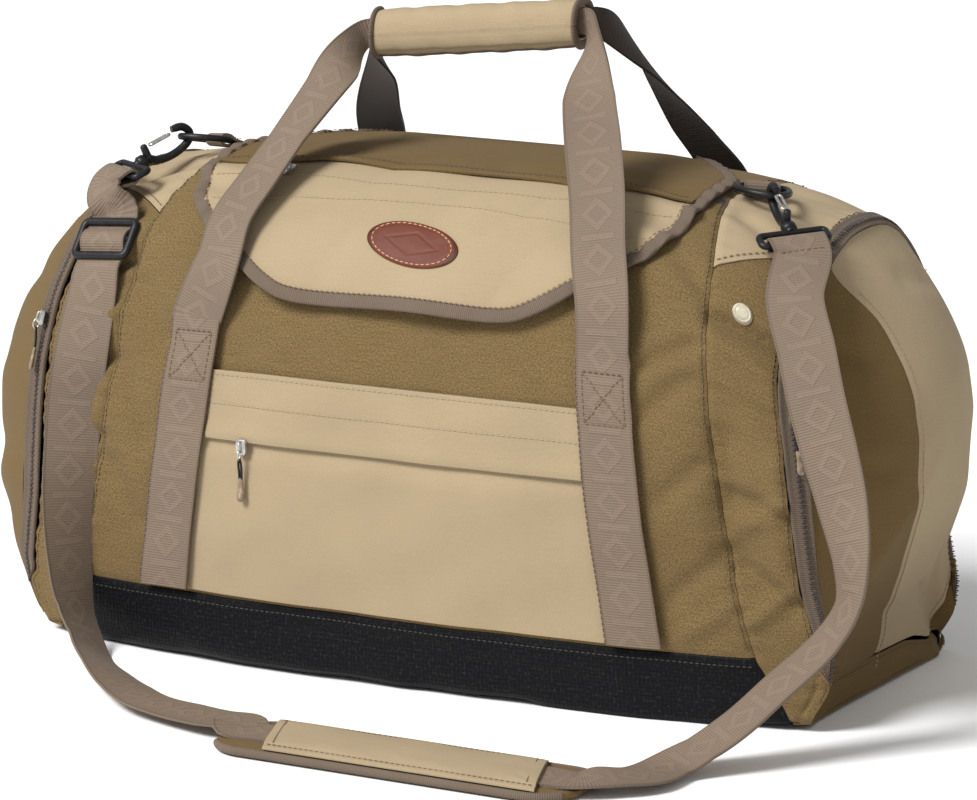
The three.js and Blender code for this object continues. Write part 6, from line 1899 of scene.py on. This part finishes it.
class BAG_OT_stage(bpy.types.Operator):
    """Pale floor, soft studio lights and the camera"""

    bl_idname = "bag.stage"
    bl_label = "Studio"

    def execute(self, context):
        span = 12000
        corner = np.array([(-span, -span), (span, -span), (span, span), (-span, span)])
        points = np.concatenate([corner, np.full((4, 1), -0.6)], axis=1)
        floor = lay_mesh("studio_floor", points, [(0, 1, 2, 3)], finish("floor"), corner)
        world = bpy.data.worlds.new("studio_light")
        world.use_nodes = True
        world.node_tree.nodes["Background"].inputs[0].default_value = (1, 1, 1, 1)
        world.node_tree.nodes["Background"].inputs[1].default_value = 0.45
        context.scene.world = world
        context.scene.view_settings.view_transform = "Standard"
        self.lamp("key", (-1.6, -2.6, 2.6), 1.6, 36)
        self.lamp("fill", (2.6, -2.6, 1.2), 2.4, 8)
        self.sun((-0.5, -1.0, 1.15), 3.4)
        self.camera()
        return {"FINISHED"}

    def lamp(self, name, place, size, watts):
        light = bpy.data.lights.new(name, "AREA")
        light.size, light.energy = size, watts
        made = bpy.data.objects.new(name, light)
        made.location = place
        aim = np.array([0, 0, 0.15]) - np.array(place)
        made.rotation_mode = "QUATERNION"
        made.rotation_quaternion = look_along(aim)
        bpy.context.scene.collection.objects.link(made)

    def sun(self, place, strength):
        """A broad sun that lights the whole floor evenly."""
        light = bpy.data.lights.new("sky", "SUN")
        light.angle, light.energy = math.radians(22), strength
        made = bpy.data.objects.new("sky", light)
        made.rotation_mode = "QUATERNION"
        made.rotation_quaternion = look_along(-np.array(place))
        bpy.context.scene.collection.objects.link(made)

    def camera(self):
        turn, rise = math.radians(28), math.radians(11.9)
        target = np.array([-0.007, -0.004, 0.1802])
        back = np.array([math.sin(turn) * math.cos(rise), -math.cos(turn) * math.cos(rise), math.sin(rise)])
        lens = bpy.data.cameras.new("camera")
        lens.sensor_width = 36
        lens.lens = 5832 / 977 * 36
        lens.clip_end = 100
        made = bpy.data.objects.new("camera", lens)
        made.location = target + back * 4.24
        made.rotation_mode = "QUATERNION"
        made.rotation_quaternion = look_along(-back)
        bpy.context.scene.collection.objects.link(made)
        bpy.context.scene.camera = made


def look_along(direction):
    """Rotation of a lamp or camera that looks along a direction."""
    return Vector(direction).to_track_quat("-Z", "Y")


class BagSizes(bpy.types.PropertyGroup):
    """Sizes that a user would change"""

    fold_depth: bpy.props.FloatProperty(
        name="Fold depth", description="Depth of the cloth's creases against the modelled ones",
        default=1.35, min=0, max=2,
    )
    stitch_length: bpy.props.FloatProperty(
        name="Stitch length", description="Length of one stitch in millimetres", default=3.0, min=1, max=6
    )
    stitch_gap: bpy.props.FloatProperty(
        name="Stitch gap", description="Gap between two stitches in millimetres", default=1.2, min=0.3, max=4
    )


def colour_property(name, default):
    """A colour for the panel."""
    return bpy.props.FloatVectorProperty(
        name=name, description=f"{name} of the cloth, webbing or leather",
        subtype="COLOR", size=3, min=0, max=1, default=default,
    )


class BagColours(bpy.types.PropertyGroup):
    """Colours that a user would change"""

    olive: colour_property("Olive canvas", (0.156, 0.104, 0.044))
    olive_fine: colour_property("Fine olive canvas", (0.14, 0.09, 0.034))
    sand: colour_property("Sand canvas", (0.362, 0.28, 0.174))
    taupe: colour_property("Taupe webbing", (0.195, 0.145, 0.106))
    # A darkened copy of the taupe webbing: painted shade for the back straps.
    umber: colour_property("Shaded taupe webbing", (0.036, 0.025, 0.019))
    black: colour_property("Coated black", (0.004, 0.004, 0.0048))
    leather: colour_property("Tan leather", (0.112, 0.025, 0.01))


class BAG_PT_sidebar(bpy.types.Panel):
    """Sizes, colours and the steps that build the bag"""

    bl_label = "Travel bag"
    bl_idname = "BAG_PT_sidebar"
    bl_space_type = "VIEW_3D"
    bl_region_type = "UI"
    bl_category = "Bag"

    def draw(self, context):
        for group in (context.scene.bag_sizes, context.scene.bag_colours):
            for key in group.__annotations__:
                self.layout.prop(group, key)
        for step in STEPS:
            self.layout.operator(step.bl_idname)


STEPS = [
    BAG_OT_stage, BAG_OT_middle, BAG_OT_gussets, BAG_OT_end_zips, BAG_OT_ends, BAG_OT_pocket, BAG_OT_lid,
    BAG_OT_hand_straps, BAG_OT_grip, BAG_OT_rings, BAG_OT_hooks, BAG_OT_shoulder_strap, BAG_OT_pad, BAG_OT_trim,
]
CLASSES = [BagSizes, BagColours, *STEPS, BAG_PT_sidebar]


def register():
    for made in CLASSES:
        bpy.utils.register_class(made)
    bpy.types.Scene.bag_sizes = bpy.props.PointerProperty(type=BagSizes)
    bpy.types.Scene.bag_colours = bpy.props.PointerProperty(type=BagColours)


def unregister():
    del bpy.types.Scene.bag_sizes
    del bpy.types.Scene.bag_colours
    for made in reversed(CLASSES):
        bpy.utils.unregister_class(made)


def main():
    register()
    for step in STEPS:
        group, name = step.bl_idname.split(".")
        getattr(getattr(bpy.ops, group), name)()


if __name__ == "__main__":
    main()
